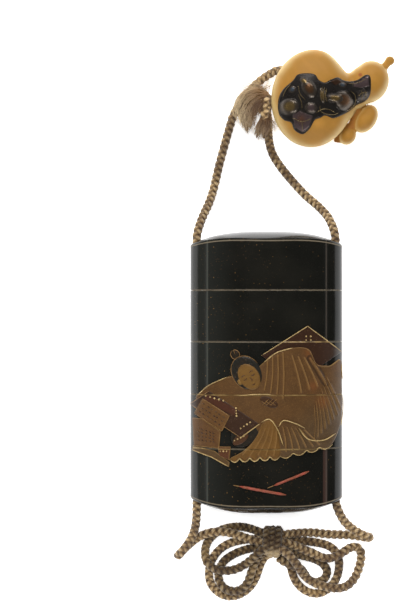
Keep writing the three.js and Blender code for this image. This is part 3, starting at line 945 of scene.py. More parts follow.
BOARD = slab((13, 15.5), (-15, -9.5), (11.5, -8.5))
TRAY = slab((-24.5, -10), (6, 4.5), (16, -10.5))
PAGE = slab((-20.5, -8), (8.5, -5.5), (-2.5, -5))
LOWER_PAGE = [(-24, -14.5), (-21, -14.5), (-15, -18.5), (-15.5, -24), (-23.5, -23.5)]
HEM = scallops((4, -26.5), (-12, -27.5), 5, 1.1)
SKIRT_HEM = scallops((21, -23), (4, -26.5), 4, 1.0)
SHAPES = {
    "board": BOARD,
    "robe": [
        (-23, -8), (-19, -4), (-13, -1), (-6, 0), (-1, 4), (3, 7),
        (8, 8.5), (13, 8), (16, 3), (20, 2.5), (24, 4.5),
        (24.4, -3), (24.6, -11), (23.5, -18), *SKIRT_HEM[::2], (-2, -20), (-6, -15), (-14, -12),
    ],
    "sleeve": [(-1, -15), (2, -15), (3.5, -19), *HEM[::2], (-8, -25), (-4, -21)],
    "hair": oval(HEAD, HEAD_LENGTH / 2, HEAD_LENGTH * 0.4, HEAD_TURN),
    "bun": oval(on_skull(1.2), 1.6, 1.4, HEAD_TURN),
    "face": oval(on_skull(-0.24), FACE_LENGTH / 2, FACE_WIDTH / 2, HEAD_TURN),
    "ear": oval(on_head(-1.02, 0), 1.1, 0.7, HEAD_TURN),
    "tray": TRAY,
    "page": PAGE,
    "lower_page": LOWER_PAGE,
    "patch": [(-16, -23.5), (-11.8, -23.5), (-12.2, -28), (-15.5, -26.5)],
    "crescent": oval((-6.8, -19), 5.6, 3.8, 40),
    "cloth": oval((-8.6, -21), 3, 1.5, 35),
    "patterned": oval((0.5, -9), 3.2, 1.6, -25),
    "border": [(-24, -23.5), (-17, -25), (-12.2, -28.5), (-12.4, -30), (-18, -27), (-24.2, -25)],
}

# How high each shape stands, how broad its rounded edge is, and its colour.
GOLD_SHAPES = {
    "robe": (0.55, 0.5, tone(84, 57, 28)),
    "sleeve": (0.95, 0.6, tone(100, 69, 28)),
    "face": (1.05, 0.6, tone(106, 75, 31)),
    "ear": (1.0, 0.3, tone(116, 86, 40)),
    "page": (0.85, 0.2, tone(94, 64, 33)),
    "lower_page": (0.55, 0.2, tone(90, 61, 33)),
    "patch": (0.6, 0.2, tone(80, 46, 28)),
    "border": (0.2, 0.15, tone(80, 60, 37)),
}
DARK_SHAPES = {
    "board": (0.3, 0.2, tone(44, 26, 17)),
    "tray": (0.7, 0.2, tone(48, 31, 22)),
    "patterned": (0.72, 0.3, tone(56, 36, 22)),
    "bun": (0.5, 0.4, tone(22, 22, 19)),
    "cloth": (0.65, 0.3, tone(66, 42, 26)),
    "crescent": (0.4, 0.3, tone(27, 26, 22)),
    "hair": (0.85, 0.7, tone(25, 26, 23)),
}

# The robe's folds, in fans: how many, the line that they start from and the line that they end on.
FOLDS = [
    *pleats(8, [(15, -10), (19, -1)], [(15, -22), (24, -12)]),
    *pleats(6, [(5, -17), (12, -18)], [(6, -25), (17, -23)]),
    *pleats(5, [(-1, -16), (3, -17)], [(-8, -26), (2, -26)]),
    *pleats(4, [(0, 5), (5, 7)], [(-1, -5), (5, -8)]),
    *pleats(4, [(8, 6), (14, 5)], [(11, -6), (19, -3)]),
]


def rows(page, lines, strokes, jitter):
    """Short strokes in rows across a four-cornered page."""
    rng = random.Random(jitter)
    marks = []
    for line in range(lines):
        for stroke in range(strokes):
            down, across = (line + 1) / (lines + 1), (stroke + 0.8 + 0.3 * rng.random()) / (strokes + 1)
            x, y = between(between(page[0], page[1], across), between(page[3], page[2], across), down)
            marks.append([(x - 0.35, y + 0.25), (x + 0.35, y - 0.25 + 0.3 * rng.random())])
    return marks


WRITING = rows(PAGE, 3, 6, 1)
LOWER_WRITING = rows([(-23, -16), (-16, -19), (-16, -23), (-23, -23)], 4, 5, 2)
HATCHING = [
    *([(x - 1.2, -8.6), (x + 0.8, -10)] for x in (-0.8, 0.5, 1.8)),
    *([(x - 0.8, -10), (x + 1.2, -8)] for x in (-0.8, 0.5, 1.8)),
]
# Lines with sharp corners, then lines in a soft hand. Each has its half thickness, its height over
# the ground,
# its colour and its course.
RULED_LINES = [
    (0.13, 0.3, PALE_GOLD, [BOARD[1], BOARD[0], BOARD[3]]),
    (0.09, 0.72, DULL_GOLD, [TRAY[1], TRAY[0]]),
    (0.1, 0.75, DULL_GOLD, [TRAY[0], TRAY[3]]),
    (0.18, 0.75, PALE_GOLD, [TRAY[3], TRAY[2]]),
    (0.08, 0.87, DULL_GOLD, [*PAGE, PAGE[0]]),
    (0.09, 0.57, DULL_GOLD, LOWER_PAGE[2:]),
    (0.13, 0.3, PALE_GOLD, [(-24.2, -25), (-18, -27), (-12.4, -30)]),
]
RAISED_LINES = [
    # The pale line along the robe's top edge is a painted highlight.
    (0.17, 0.62, PALE_GOLD, [(-1, 4), (3, 7), (8, 8.5)]),
    (0.11, 0.62, DULL_GOLD, [(8, 8.5), (13, 8), (16, 3), (20, 2.5)]),
    (0.13, 0.62, PALE_GOLD, [(-22, -7), (-19, -4), (-13, -1)]),
    (0.13, 0.6, PALE_GOLD, [(24, 3), (24.3, -2)]),
    (0.13, 0.6, PALE_GOLD, [(24.5, -7), (24.5, -12), (23.8, -17)]),
    (0.17, 0.75, PALE_GOLD, [(10, -17.5), (13, -21), (18, -21.5), (22, -19.5)]),
    (0.17, 0.75, PALE_GOLD, [(3.5, -17), (5, -15), (9, -16), (12, -17.5)]),
    (0.15, 1.0, PALE_GOLD, [(-2, -15.5), (0.5, -14.5), (3, -17.5), (5, -23)]),
    (0.16, 0.8, PALE_GOLD, HEM),
    (0.13, 0.6, PALE_GOLD, SKIRT_HEM),
    (0.13, 0.75, PALE_GOLD, [(-9, -7), (-4, -6.5), (1, -6.5)]),
    (0.1, 0.5, DULL_GOLD, oval(on_skull(1.2), 1.6, 1.4, HEAD_TURN) + [on_skull(1.2)]),
    (0.1, 0.6, DULL_GOLD, oval(HEAD, HEAD_LENGTH / 2, HEAD_LENGTH * 0.4, HEAD_TURN, -80, 130)),
    *((0.09, 0.74, DULL_GOLD, fold) for fold in FOLDS),
    *((0.13, 1.08, INK, stroke) for stroke in FACE_STROKES),
    *((0.17, 0.88, WRITTEN, stroke) for stroke in WRITING),
    *((0.17, 0.58, WRITTEN, stroke) for stroke in LOWER_WRITING),
    *((0.09, 0.78, DULL_GOLD, stroke) for stroke in HATCHING),
    (0.46, 0.14, RED_LACQUER, [(-9, -36.3), (6, -39)]),
    (0.42, 0.14, RED_LACQUER, [(2, -36), (13.5, -31.5)]),
    (0.13, 0.06, DULL_GOLD, [(-11, -36), (-9, -36.3)]),
    (0.12, 0.06, DULL_GOLD, [(0, -36.8), (2, -36)]),
]
GOLD_DOTS = [
    *((*between((-19.5, -7.2), (-14, -8.6), share), 0.75) for share in np.linspace(0, 1, 5)),
    *((*between((-10, -11), (-9.8, -13.5), share), 0.75) for share in np.linspace(0, 1, 4)),
    *((*between((-5.5, -15.5), (-8.5, -17.5), share), 0.75) for share in np.linspace(0, 1, 4)),
    *((*between((-7.5, -20), (-10.5, -21.5), share), 0.7) for share in np.linspace(0, 1, 4)),
    *((x, y, 0.35) for x in (12.5, 14) for y in (11, 12.2)),
    *((x, -25, 0.65) for x in (-15, -14, -13)),
]


def joint_groove(y):
    """A share of the relief's height: less where the joints between the boxes cut through it."""
    away = np.min([np.abs(y - seam) for seam in SEAMS_Y], axis=0)
    return 0.45 + 0.55 * gently(away, 0.06, 0.2)


def relief(shapes, seed):
    """The picture's shapes as closed solids, with their colours, their rims and their folds."""
    parts = []
    tints, rims, crests = [], [], []
    folds = [plan_line(points, 0.5) for points in FOLDS]
    marks = [seam + shift for seam in SEAMS_Y for shift in (-0.2, -0.06, 0.06, 0.2)]
    for name, (height, bevel, tint) in shapes.items():
        soft = name in ("robe", "sleeve", "hair", "face", "ear", "crescent", "cloth")

        def lift(plan, inset):
            rim = np.sqrt(np.clip(1 - (1 - np.clip(inset / bevel, 0, 1)) ** 2, 0, 1))
            raised = height * (0.12 + 0.88 * rim)
            if name in ("robe", "sleeve"):
                raised += crest(plan) * 0.24 * np.clip(inset / 0.8, 0, 1)
            if name == "hair":
                raised += 0.05 * np.sin(plan[:, 0] * 5 + plan[:, 1] * 3) * rim
            return raised * joint_groove(plan[:, 1])

        def crest(plan):
            ridges = np.zeros(len(plan))
            for line in folds:
                away = away_from(plan, line, closed=False)
                ridges = np.maximum(ridges, np.exp(-((away / 0.32) ** 2)))
                ridges -= 0.6 * np.exp(-(((away - 0.9) / 0.4) ** 2))
            return np.clip(ridges, -1, 1)

        points, faces, inset = plate(
            SHAPES[name], on_front, lift, spacing=0.3, smooth=soft, marks=marks,
        )
        parts.append((points, faces))
        plan = points[:, :2]
        colour = np.tile(tint, (len(points), 1))
        if name == "robe":
            colour = blend(colour, tone(78, 62, 42), 0.75 * gently(plan[:, 0] - plan[:, 1], 18, 36))
            for x, y, size in ((15, -4, 1.5), (18, -9, 2), (14, 7, 2)):
                near = np.exp(-((plan[:, 0] - x) ** 2 + (plan[:, 1] - y) ** 2) / size**2)
                colour = blend(colour, tone(122, 70, 32), 0.6 * near)
        if name == "tray":
            strip = away_from(plan, [(-19, -8), (-11, -12)], closed=False)
            colour = blend(colour, tone(66, 37, 26), gently(strip, 1.4, 0.9))
        if name == "board":
            colour = blend(colour, tone(42, 34, 27), gently(plan[:, 0] - plan[:, 1] * 0.6, 16, 20))
        tints.append(colour)
        rims.append(inset)
        crests.append(crest(plan) if name in ("robe", "sleeve") else np.zeros(len(points)))
    points, faces = gathered(parts)
    return closed_mesh(
        seed, points, faces, tint=np.vstack(tints), rim=np.concatenate(rims), crest=np.concatenate(crests)
    )


# The netsuke


GOURD_X, GOURD_Y = 15.4, 90.6
GOURD_TILT = math.radians(15.4)
BIG = {"length": 13.9, "width": 15.8, "depth": 8.2, "z": 7.6}
SMALL = {"at": 20.0, "length": 6.5, "width": 6.7, "depth": 6.0, "z": 6.4}
WAIST = {"at": 13.8, "width": 6.0, "depth": 4.2, "reach": 5.0}
# How far the gourd's middle lies to one side of its axis, along it.
BEND = [
    (-13.9, -1.7), (-7, -0.75), (0, 0.16), (6, 0.95),
    (9.5, 1.05), (13.8, -0.9), (17, -0.1), (20, 0.5), (26.5, 1.3),
]
VINE = [
    (30.6, 89.6, 6), (30.4, 86.4, 5.2), (29.2, 83.4, 4.6),
    (28.3, 81.6, 4.2), (26, 81.6, 3.8), (24.6, 79.6, 3.2),
    (24, 76.6, 2.6),
]
STEM = [(37.2, 98.4, 6.6), (38.6, 100.2, 6.8), (39.6, 101.6, 7), (40.5, 102.7, 7.1)]


def bend(t):
    middle = smooth_line([(*point, 0.0) for point in BEND])
    return float(np.interp(t, middle[:, 0], middle[:, 1]))


def gourd_ring(t, sides=96):
    """The gourd's ring at a distance along its axis from the middle of the big bulb."""
    fade = math.exp(-(((t - WAIST["at"]) / WAIST["reach"]) ** 4))

    def size(key):
        bulb, at = (BIG, 0.0) if t < WAIST["at"] else (SMALL, SMALL["at"])
        full = bulb[key] * math.sqrt(max(0.0, 1 - ((t - at) / bulb["length"]) ** 2))
        return (full**6 + (WAIST[key] * fade) ** 6) ** (1 / 6)

    share = min(max((t - 6) / (SMALL["at"] - 6), 0), 1)
    z = BIG["z"] + (SMALL["z"] - BIG["z"]) * share * share * (3 - 2 * share)
    angle = np.linspace(0, 2 * math.pi, sides, endpoint=False)
    across = bend(t) + size("width") * np.cos(angle)
    c, s = math.cos(GOURD_TILT), math.sin(GOURD_TILT)
    height = np.maximum(0, z + size("depth") * np.sin(angle))
    return np.column_stack([GOURD_X + t * c - across * s, GOURD_Y + t * s + across * c, height])


def gourd_solid():
    turns = np.linspace(0, math.pi, 64)[1:-1]
    marks = [-BIG["length"] * math.cos(turn) for turn in turns if -math.cos(turn) < 0.93]
    marks += list(np.linspace(13.2, 16.6, 8))
    marks += [SMALL["at"] - SMALL["length"] * math.cos(turn) for turn in turns if -math.cos(turn) > -0.5]
    rings = [gourd_ring(t) for t in marks]
    c, s = math.cos(GOURD_TILT), math.sin(GOURD_TILT)
    ends = [(GOURD_X + t * c - bend(t) * s, GOURD_Y + t * s + bend(t) * c, z) for t, z in (
        (-BIG["length"], BIG["z"]), (SMALL["at"] + SMALL["length"], SMALL["z"]))]
    return loft(ends[0], rings, ends[1])


INLAY_EDGE = [
    (3.8, 87.4), (4.3, 91.1), (5.6, 93.3), (8.7, 96), (10.1, 97.8), (13, 98.3), (15.9, 97.8), (17.1, 96.1),
    (19, 95.2), (21.2, 96.3), (23.5, 97.1), (25.4, 96.3), (27.7, 96.1), (30.2, 96.6), (32.8, 98.1),
    (34, 97.8), (34.4, 95.9), (34.2, 91.6), (33, 89.8), (29.9, 88.3), (27.7, 86.4), (23.7, 84.2),
    (21.8, 83.6), (19.2, 84.4), (17.5, 83.6), (15.9, 83), (14.2, 80.2), (11.9, 78.5), (9.2, 79.9),
    (8.1, 82.2), (5.9, 83.1), (4.4, 84.8),
]
BRASS = tone(118, 96, 56)
COPPER = tone(92, 62, 36)
MAUVE = tone(96, 80, 80)
SLATE = tone(78, 88, 98)
# The inlay's fruits: place, half length and half width, turn in degrees, height, and the colour on top.
FRUITS = [
    (7.5, 87.3, 3.3, 2.8, 0, 1.7, BRASS), (13.9, 93.1, 3.4, 2.4, -58, 1.6, COPPER),
    (12.2, 95.6, 1.7, 1.2, -40, 1.2, BRASS), (8.4, 92.9, 1.3, 1.3, 0, 0.8, SLATE),
    (14.5, 86.8, 2.3, 1.8, -10, 1.2, MAUVE), (25.5, 89.5, 3.5, 3.3, 0, 2.3, COPPER),
    (22.4, 90, 3, 1.6, -6, 1.7, BRASS), (25, 94.6, 1.6, 1, 0, 0.9, SLATE),
    (18.3, 90.8, 1.2, 2.6, 10, 1.2, BRASS),
]
LEAVES = [
    (
        [(8.3, 84.8), (9.2, 80.4), (11.9, 78.8), (14, 80.6), (15.4, 84.2), (12.6, 85.2), (10.8, 86)],
        0.75, MAUVE,
    ),
    (
        [(28.5, 95.6), (30.4, 96.2), (32.8, 97.7), (33.8, 97.3), (34, 94.2), (31, 93.6), (28.6, 94)],
        0.7, MAUVE,
    ),
    ([(29.6, 92.6), (32, 93.8), (34, 92.6), (33.8, 91), (32, 89.6), (29.8, 89.8)], 0.95, tone(70, 64, 60)),
    ([(20.4, 95.6), (23.4, 96.7), (25.2, 95.6), (22.6, 94)], 0.7, tone(70, 48, 34)),
]
# Raised wires on the inlay: half thickness, height and course.
WIRES = [
    (0.14, 1.15, [(18.2, 93.6), (17.6, 91.4), (17.9, 88.8)]),
    (0.14, 1.25, [(18.9, 93.4), (18.4, 91), (18.8, 88.6)]),
    (0.14, 1.15, [(19.6, 93), (19.2, 90.8), (19.7, 88.8)]),
    (0.12, 0.7, [(17.4, 87.6), (17.7, 85.8), (19.6, 84.9), (22.4, 84.8), (23.6, 85.4)]),
    (0.1, 0.7, [(16.2, 85.2), (18.4, 86.4), (20.8, 86.2), (22.6, 85.2)]),
    (0.12, 0.8, [(27.6, 92.9), (29.2, 91.4), (29.4, 89.2), (28.4, 87.4), (26.4, 86)]),
    (0.1, 0.75, [(10.3, 91.2), (11.4, 88.6), (11.6, 86.4)]),
    (0.1, 0.75, [(10.4, 94), (10.9, 91.4), (12.6, 89.4)]),
    (0.09, 1.05, [(30.2, 91.2), (31.8, 92.2), (33.2, 92.2)]),
    (0.09, 1.05, [(31.2, 93), (31.6, 91.4), (31.4, 90)]),
    (0.09, 1.05, [(32.4, 92.9), (32.8, 91.6), (32.6, 90.4)]),
    (0.12, 0.75, [(5.4, 90.6), (6.2, 92.6), (8, 94.8)]),
    (0.1, 0.85, [(8.5, 83.6), (11.6, 82.4), (14.4, 83.2)]), (0.1, 0.85, [(11.6, 82.4), (11.8, 79.6)]),
    (0.09, 0.65, [(26.4, 95.4), (28.6, 95.2), (30.6, 95.6), (33, 96.8)]),
]


def inlay_mesh(ground):
    """The inlaid plaque over the top of the gourd: its fruits, leaves and ground in one closed solid."""
    def on_gourd(plan, lift):
        heights = [ground.ray_cast(Vector((x, y, 60)), Vector((0, 0, -1)))[0] for x, y in plan]
        z = np.array([place.z if place else 8.0 for place in heights])
        return np.column_stack([plan, z + lift])

    def across(fruit, plan):
        x, y, long, wide, turn, _, _ = fruit
        c, s = math.cos(math.radians(turn)), math.sin(math.radians(turn))
        dx, dy = plan[:, 0] - x, plan[:, 1] - y
        return np.hypot((dx * c + dy * s) / long, (dy * c - dx * s) / wide)

    def lift(plan, inset):
        rim = np.sqrt(np.clip(1 - (1 - np.clip(inset / 0.5, 0, 1)) ** 2, 0, 1))
        raised = 0.5 * rim
        for outline, height, _ in LEAVES:
            outline = np.asarray(outline, float)
            depth = np.where(within(plan, outline), away_from(plan, outline), 0)
            raised = np.maximum(raised, (0.5 + (height - 0.5) * gently(depth, 0, 0.35)) * rim)
        for fruit in FRUITS:
            dome = fruit[5] * np.sqrt(np.clip(1 - across(fruit, plan) ** 2, 0, 1))
            raised = np.maximum(raised, (raised**4 + (dome * rim) ** 4) ** 0.25)
        return raised

    points, faces, inset = plate(INLAY_EDGE, on_gourd, lift, sink=0.8, spacing=0.22, smooth=True)
    plan = points[:, :2]
    colour = np.tile(tone(50, 46, 43), (len(points), 1))
    for outline, _, tint in LEAVES:
        outline = np.asarray(outline, float)
        depth = np.where(within(plan, outline), away_from(plan, outline), 0)
        colour = blend(colour, tint, gently(depth, 0.1, 0.4))
    colour = blend(
        colour, tone(124, 82, 56), 0.7 * np.exp(-((plan[:, 0] - 11.4) ** 2 + (plan[:, 1] - 83.2) ** 2) / 1.6),
    )
    for fruit in FRUITS:
        share = across(fruit, plan)
        colour = blend(colour, tone(74, 66, 58), gently(share, 1.0, 0.8))
        colour = blend(colour, fruit[6], 0.9 * gently(share, 0.7, 0.3))
    return closed_mesh("netsuke_inlay_metal", points, faces, tint=colour, rim=inset), on_gourd


# The knots and the frayed ends


def wrapped_line(middle, reach, run, turns, tuck=1.4):
    """Cord wound round a bundle: reach is the half size across it, run the way it goes along it."""
    angle = np.linspace(-math.pi / 2, 2 * math.pi * turns + math.pi / 2 - math.pi, 48 * turns)
    share = np.linspace(0, 1, len(angle))
    inward = 1 - 0.35 * (gently(share, 0.06, 0) + gently(share, 0.94, 1)) * tuck / 1.4
    line = np.zeros((len(angle), 3)) + np.asarray(middle, float)
    line += np.asarray(run, float) * (share - 0.5)[:, None]
    side, up = reach
    line += side * (np.sin(angle) * inward)[:, None] + up * (np.cos(angle) * inward)[:, None]
    return evenly(line, 0.4)


# Guides of the frayed ends: how far fibres spread round each, how pale they are,
# and its course from the root.
TUFTS = [
    (0.8, 1.0, [(1, 92.6, 5.4), (-3.2, 93.7, 7), (-7.1, 92.4, 6.8), (-9.2, 89.2, 5.6), (-8.9, 86, 4.6)]),
    (
        1.0, 1.0,
        [(1, 92.2, 5.4), (-3, 92.8, 7), (-6.8, 91.2, 6.8),
            (-8.6, 88, 5.8), (-8.3, 84.8, 4.7), (-7.4, 82.2, 3.4)],
    ),
    (
        1.1, 0.8,
        [(1, 91.9, 5.5), (-2.5, 91.8, 7.4), (-5.6, 90, 7.4),
            (-7.2, 87, 6.6), (-7, 83.6, 5.3), (-6.4, 80.3, 3.6)],
    ),
    (
        1.0, 0.45,
        [(0.9, 91.3, 5.5), (-1.8, 91, 7.4), (-4.4, 89.2, 7.6),
            (-5.8, 86.2, 6.9), (-6, 83, 5.6), (-5.9, 79.6, 4)],
    ),
    (
        1.0, 0.0,
        [(0.8, 90.6, 5.5), (-1.2, 90.2, 7), (-3.2, 88.3, 7.4),
            (-4.3, 85.8, 6.8), (-4.7, 83, 5.2), (-4.9, 81.2, 4)],
    ),
    (1.0, 0.0, [(0.6, 89.8, 5.6), (-0.6, 89.2, 6.8), (-2, 88, 7), (-3, 86.6, 6.4), (-3.6, 85.2, 5.4)]),
    (1.1, 0.3, [(-0.7, 85.4, 5.6), (-1.4, 83.4, 6), (-2, 81.2, 5.4), (-2.6, 79.2, 4.2), (-3, 78.1, 3.4)]),
    (1.3, 0.15, [(-0.1, 85.6, 5.6), (0.1, 83.4, 6.4), (0, 81.2, 5.8), (-0.4, 79, 4.4), (-0.6, 77.9, 3.4)]),
]
STRAYS = [
    (0.9, 0.9, [(0.5, 92.6, 5), (-3.4, 93.8, 6), (-7, 93.8, 5.6), (-10, 92.6, 4.6)]),
    (0.7, 1.0, [(0.5, 93, 4.6), (-2, 95, 5), (-4.8, 95.4, 4.4), (-7.4, 94.6, 3.6)]),
    (0.9, 0.6, [(0.6, 86, 5), (1.6, 83.8, 5.2), (2.6, 82, 4.4), (3.8, 80.6, 3.2)]),
    (1.3, 1.0, [(0.4, 92, 5.6), (-3.6, 92, 7.2), (-7.8, 89.8, 6.2), (-9.4, 86.2, 4.6), (-9, 82.6, 3)]),
    (1.4, 0.7, [(0.2, 90.6, 5.6), (-3, 90, 7.4), (-5.2, 86.8, 6.8), (-6, 83, 5), (-5.6, 79, 3)]),
    (1.5, 0.6, [(-0.3, 85, 5.4), (-1, 82.6, 6), (-1.6, 80, 4.6), (-2.2, 77.4, 3)]),
    (0.9, 0.9, [(-0.4, 91.6, 5.4), (-1.2, 93, 6), (0.4, 94.6, 5.6), (2.4, 96.6, 4.8)]),
]


def cores_of(tufts, share):
    """Solid hearts of the frayed ends, so that no light shows through the fibres."""
    parts = []
    for spread, _, course in tufts:
        line = smooth_line(course, 0.3)
        along = np.linspace(0, 1, len(line))
        parts.append(
            rod(line, spread * share * (0.35 + 0.65 * gently(along, 0, 0.25)) * (1 - 0.8 * along**3) + 0.02),
        )
    return parts


# Materials of the cord


def silk(name, shade=1.0, painted_light_below=None):
    """Braided silk: pale where a plait stands high, partly wear and partly painted highlight; dark in the
    gaps and between the fine threads along each strand, as painted shade. A shade under one darkens the whole
    copy as painted shade, and a given span of y makes the part below it paler, as painted light.
    """
    cord = bpy.context.scene.inro_cord
    f = Finish(name)

    def tinted(value):
        return tuple(channel * shade for channel in value[:3]) + (1.0,)

    ring = f.attribute("ring", "Vector")
    round_angle = f.axis(0, ring).maths("ARCTAN2", f.axis(1, ring), f.axis(0, ring))
    thread = (round_angle * 7 + f.attribute("along") * 900).sine() * 0.5 + 0.5
    broad = f.noise(85, 3.0, 0.6)
    small = f.noise(520, 2.0)
    grain = f.noise(2600, 3.0, 0.7)
    outer = cord.core + cord.weave + cord.strand
    rise = f.attribute("rise") / outer + (grain - 0.5) * 0.12 + (small - 0.5) * 0.16
    # Paler where the plaits stand highest: partly wear, partly painted highlight.
    worn = rise.ramp(0.82, 1.02)
    base = f.mix(worn, tinted(cord.middle), tinted(cord.light))
    # Darker where the surface lies low between the plaits: painted shade.
    base = f.mix(rise.ramp(0.6, 0.88, 1.0, 0.0), base, tinted(cord.dark))
    # Darker in the grooves between the fine threads: painted shade.
    base = f.mix(thread.ramp(0.0, 0.5, 0.3, 0.0), base, tinted(cord.dark))
    base = f.mix(broad.ramp(0.46, 0.62, 0.0, 0.62), base, tinted(tone(66, 46, 32)))
    base = f.mix(broad.ramp(0.32, 0.44, 0.35, 0.0), base, tinted(tone(190, 158, 108)))
    # Paler at low y, on the knot's lower side: painted light.
    if painted_light_below:
        low, high = (value * MM for value in painted_light_below)
        base = f.mix(f.axis(1).ramp(low, high, 0.55, 0.0), base, tone(196, 172, 132))
    relief = f.bump(thread, 0.06 * MM, 0.8, f.bump(grain, 0.08 * MM, 0.6))
    return f.done(Base_Color=base, Roughness=0.82, Specular_IOR_Level=0.25, Normal=relief, Sheen_Weight=0.25)


def loose_silk():
    """Loose silk fibres, reddish at the root and pale at the tip."""
    f = Finish("Loose silk")
    tips = f.attribute("share").ramp(0.1, 0.9)
    pale = f.mix(tips, tone(146, 112, 74), tone(226, 204, 164))
    deep = f.mix(tips, tone(74, 46, 30), tone(150, 120, 88))
    base = f.mix(f.attribute("glow"), deep, pale)
    base = f.mix(f.attribute("shade").ramp(0.45, 0.9, 0.0, 0.9), base, tone(70, 46, 30))
    return f.done(Base_Color=base, Roughness=0.6, Specular_IOR_Level=0.4, Sheen_Weight=0.2)


def silk_heart():
    """Dark silk for the solid hearts inside the knots and the frayed ends: painted shade."""
    f = Finish("Deep silk")
    base = f.mix(f.noise(1500, 2.0).ramp(0.3, 0.7), tone(70, 50, 34), tone(104, 80, 54))
    return f.done(Base_Color=base, Roughness=0.9, Specular_IOR_Level=0.2)


def lacquer_finish():
    """Black lacquer with gold powder in it, worn thin and pale along the joints and the rims, where the pale
    rim lines are partly a painted highlight; greyer to the left and with a thin pale line down each side, as
    painted reflections.
    """
    case = bpy.context.scene.inro_case
    f = Finish("Black lacquer")
    x, y, z = (f.axis(i) for i in range(3))
    side, front = abs(x / case.half_width), (z - AXIS_Z * MM) / case.half_depth
    broad = f.noise(70, 3.0)
    grain = f.noise(900, 3.0, 0.6)
    across, low = x / MM, y / MM
    base = f.mix(broad.ramp(0.35, 0.75), tuple(case.lacquer), tone(25, 24, 20))
    # Greyer towards the left side: a painted reflection.
    base = f.mix(across.ramp(-8.0, -22.0, 0.0, 0.8), base, tone(36, 37, 34))
    reddish = abs(across - 18.9).ramp(0.5, 0.9, 0.85, 0.0) * low.ramp(-12.0, -26.0)
    base = f.mix(reddish, base, tone(58, 42, 36))
    # A thin pale line down each side, at x = 19.3 mm and x = -19.4 mm: painted reflections.
    base = f.mix(abs(across - 19.3).ramp(0.1, 0.35, 0.5, 0.0), base, tone(70, 62, 54))
    base = f.mix(abs(across + 19.4).ramp(0.1, 0.4, 0.5, 0.0), base, tone(74, 76, 70))
    joint = None
    for seam in SEAMS_Y:
        away = abs(y - seam * MM)
        joint = away if joint is None else joint.least(away)
    seam_wear = (joint / MM + (grain - 0.5) * 0.2).ramp(0.16, 0.3, 1.0, 0.0)
    seam_wear = seam_wear * f.noise(260, 2.0).ramp(0.3, 0.55, 0.45, 1.0)
    fall = (side ** CROWN_POWER) * (CROWN_DROP[1] * MM) + front * front * (CROWN_ROLL * MM)
    low_fall = (side ** CROWN_POWER) * (CROWN_DROP[-1] * MM) + front * front * (CROWN_ROLL * MM)
    rim = abs(y - (fall * -1.0 + (CROWN_Y[1] - RIM) * MM))
    low_rim = abs(y + (low_fall * -1.0 + (CROWN_Y[-1] - RIM) * MM))
    # Pale lines round the crowns' rims: partly wear, partly a painted highlight.
    rim_wear_and_highlight = rim.least(low_rim) / MM + (grain - 0.5) * 0.15
    wear = seam_wear.most(rim_wear_and_highlight.ramp(0.1, 0.26, 1.0, 0.0))
    base = f.mix(wear, base, tuple(case.worn))
    dusted = (across * -0.02 + broad * 1.2 + low.ramp(-10.0, -34.0) * 0.5).ramp(0.5, 1.0)
    powder = f.specks(1150, 0.2, 0.09) * (dusted * 0.7 + 0.3)
    base = f.mix(powder * 0.7, base, tuple(case.speck))
    dust = f.specks(2300, 0.3, 0.12) * dusted
    base = f.mix(dust * 0.5, base, tone(112, 82, 46))
    rubbed = f.noise(2200, 2.0, 0.7)
    base = f.mix(rubbed.ramp(0.62, 0.75, 0.0, 0.2), base, tone(58, 54, 45))
    rough = grain.ramp(0.3, 0.7, 0.10, 0.17) + wear * 0.3
    relief = f.bump(f.noise(45, 2.0), 0.25 * MM, 0.5)
    return f.done(Base_Color=base, Roughness=rough, IOR=1.3, Normal=relief)


def relief_finish(name, metallic, rough, grain_depth, specks):
    """Raised lacquer in its own colours: paler on its ridges and, where it has no specks, round its rims, as
    painted highlight; darker in the folds' hollows, as painted shade; and worn paler along the joints.
    """
    f = Finish(name)
    y = f.axis(1)
    tint = f.attribute("tint", "Color")
    rim = f.attribute("rim")
    crest = f.attribute("crest")
    powder = f.noise(2600, 4.0, 0.75)
    cloud = f.noise(320, 3.0)
    base = f.mix(cloud.ramp(0.35, 0.7, 0.0, 0.5), tint, f.mix(0.5, tint, tone(48, 31, 16)))
    base = f.mix(powder.ramp(0.5, 0.75, 0.0, grain_depth), base, tone(150, 114, 62))
    base = f.mix(powder.ramp(0.5, 0.25, 0.0, grain_depth), base, tone(48, 32, 18))
    # Paler on the folds' ridges: painted highlight. Darker in their hollows: painted shade.
    base = f.mix(crest.ramp(0.3, 1.0, 0.0, 0.5), base, tone(136, 102, 56))
    base = f.mix(crest.ramp(-0.05, -0.5, 0.0, 0.75), base, tone(50, 33, 17))
    if specks:
        base = f.mix(f.specks(1700, 0.25, 0.3) * specks, base, tone(130, 104, 84))
    else:
        # Paler round the shapes' rounded edges: painted highlight.
        base = f.mix(rim.ramp(0.1, 0.3, 0.5, 0.0), base, tone(150, 118, 68))
    joint = None
    for seam in SEAMS_Y:
        away = abs(y - seam * MM)
        joint = away if joint is None else joint.least(away)
    worn = (joint / MM).ramp(0.1, 0.28, 0.75, 0.0) * f.noise(300, 2.0).ramp(0.35, 0.6, 0.3, 1.0)
    base = f.mix(worn, base, tone(178, 150, 98))
    return f.done(
        Base_Color=base, Metallic=metallic, Roughness=rough, Normal=f.bump(powder, 0.05 * MM, 0.5),
        Specular_IOR_Level=0.4,
    )


def line_finish():
    f = Finish("Gold lines")
    wear = f.noise(700, 3.0)
    base = f.mix(wear.ramp(0.35, 0.65, 0.5, 0.0), f.attribute("tint", "Color"), tone(96, 68, 36))
    return f.done(Base_Color=base, Metallic=0.25, Roughness=0.4)


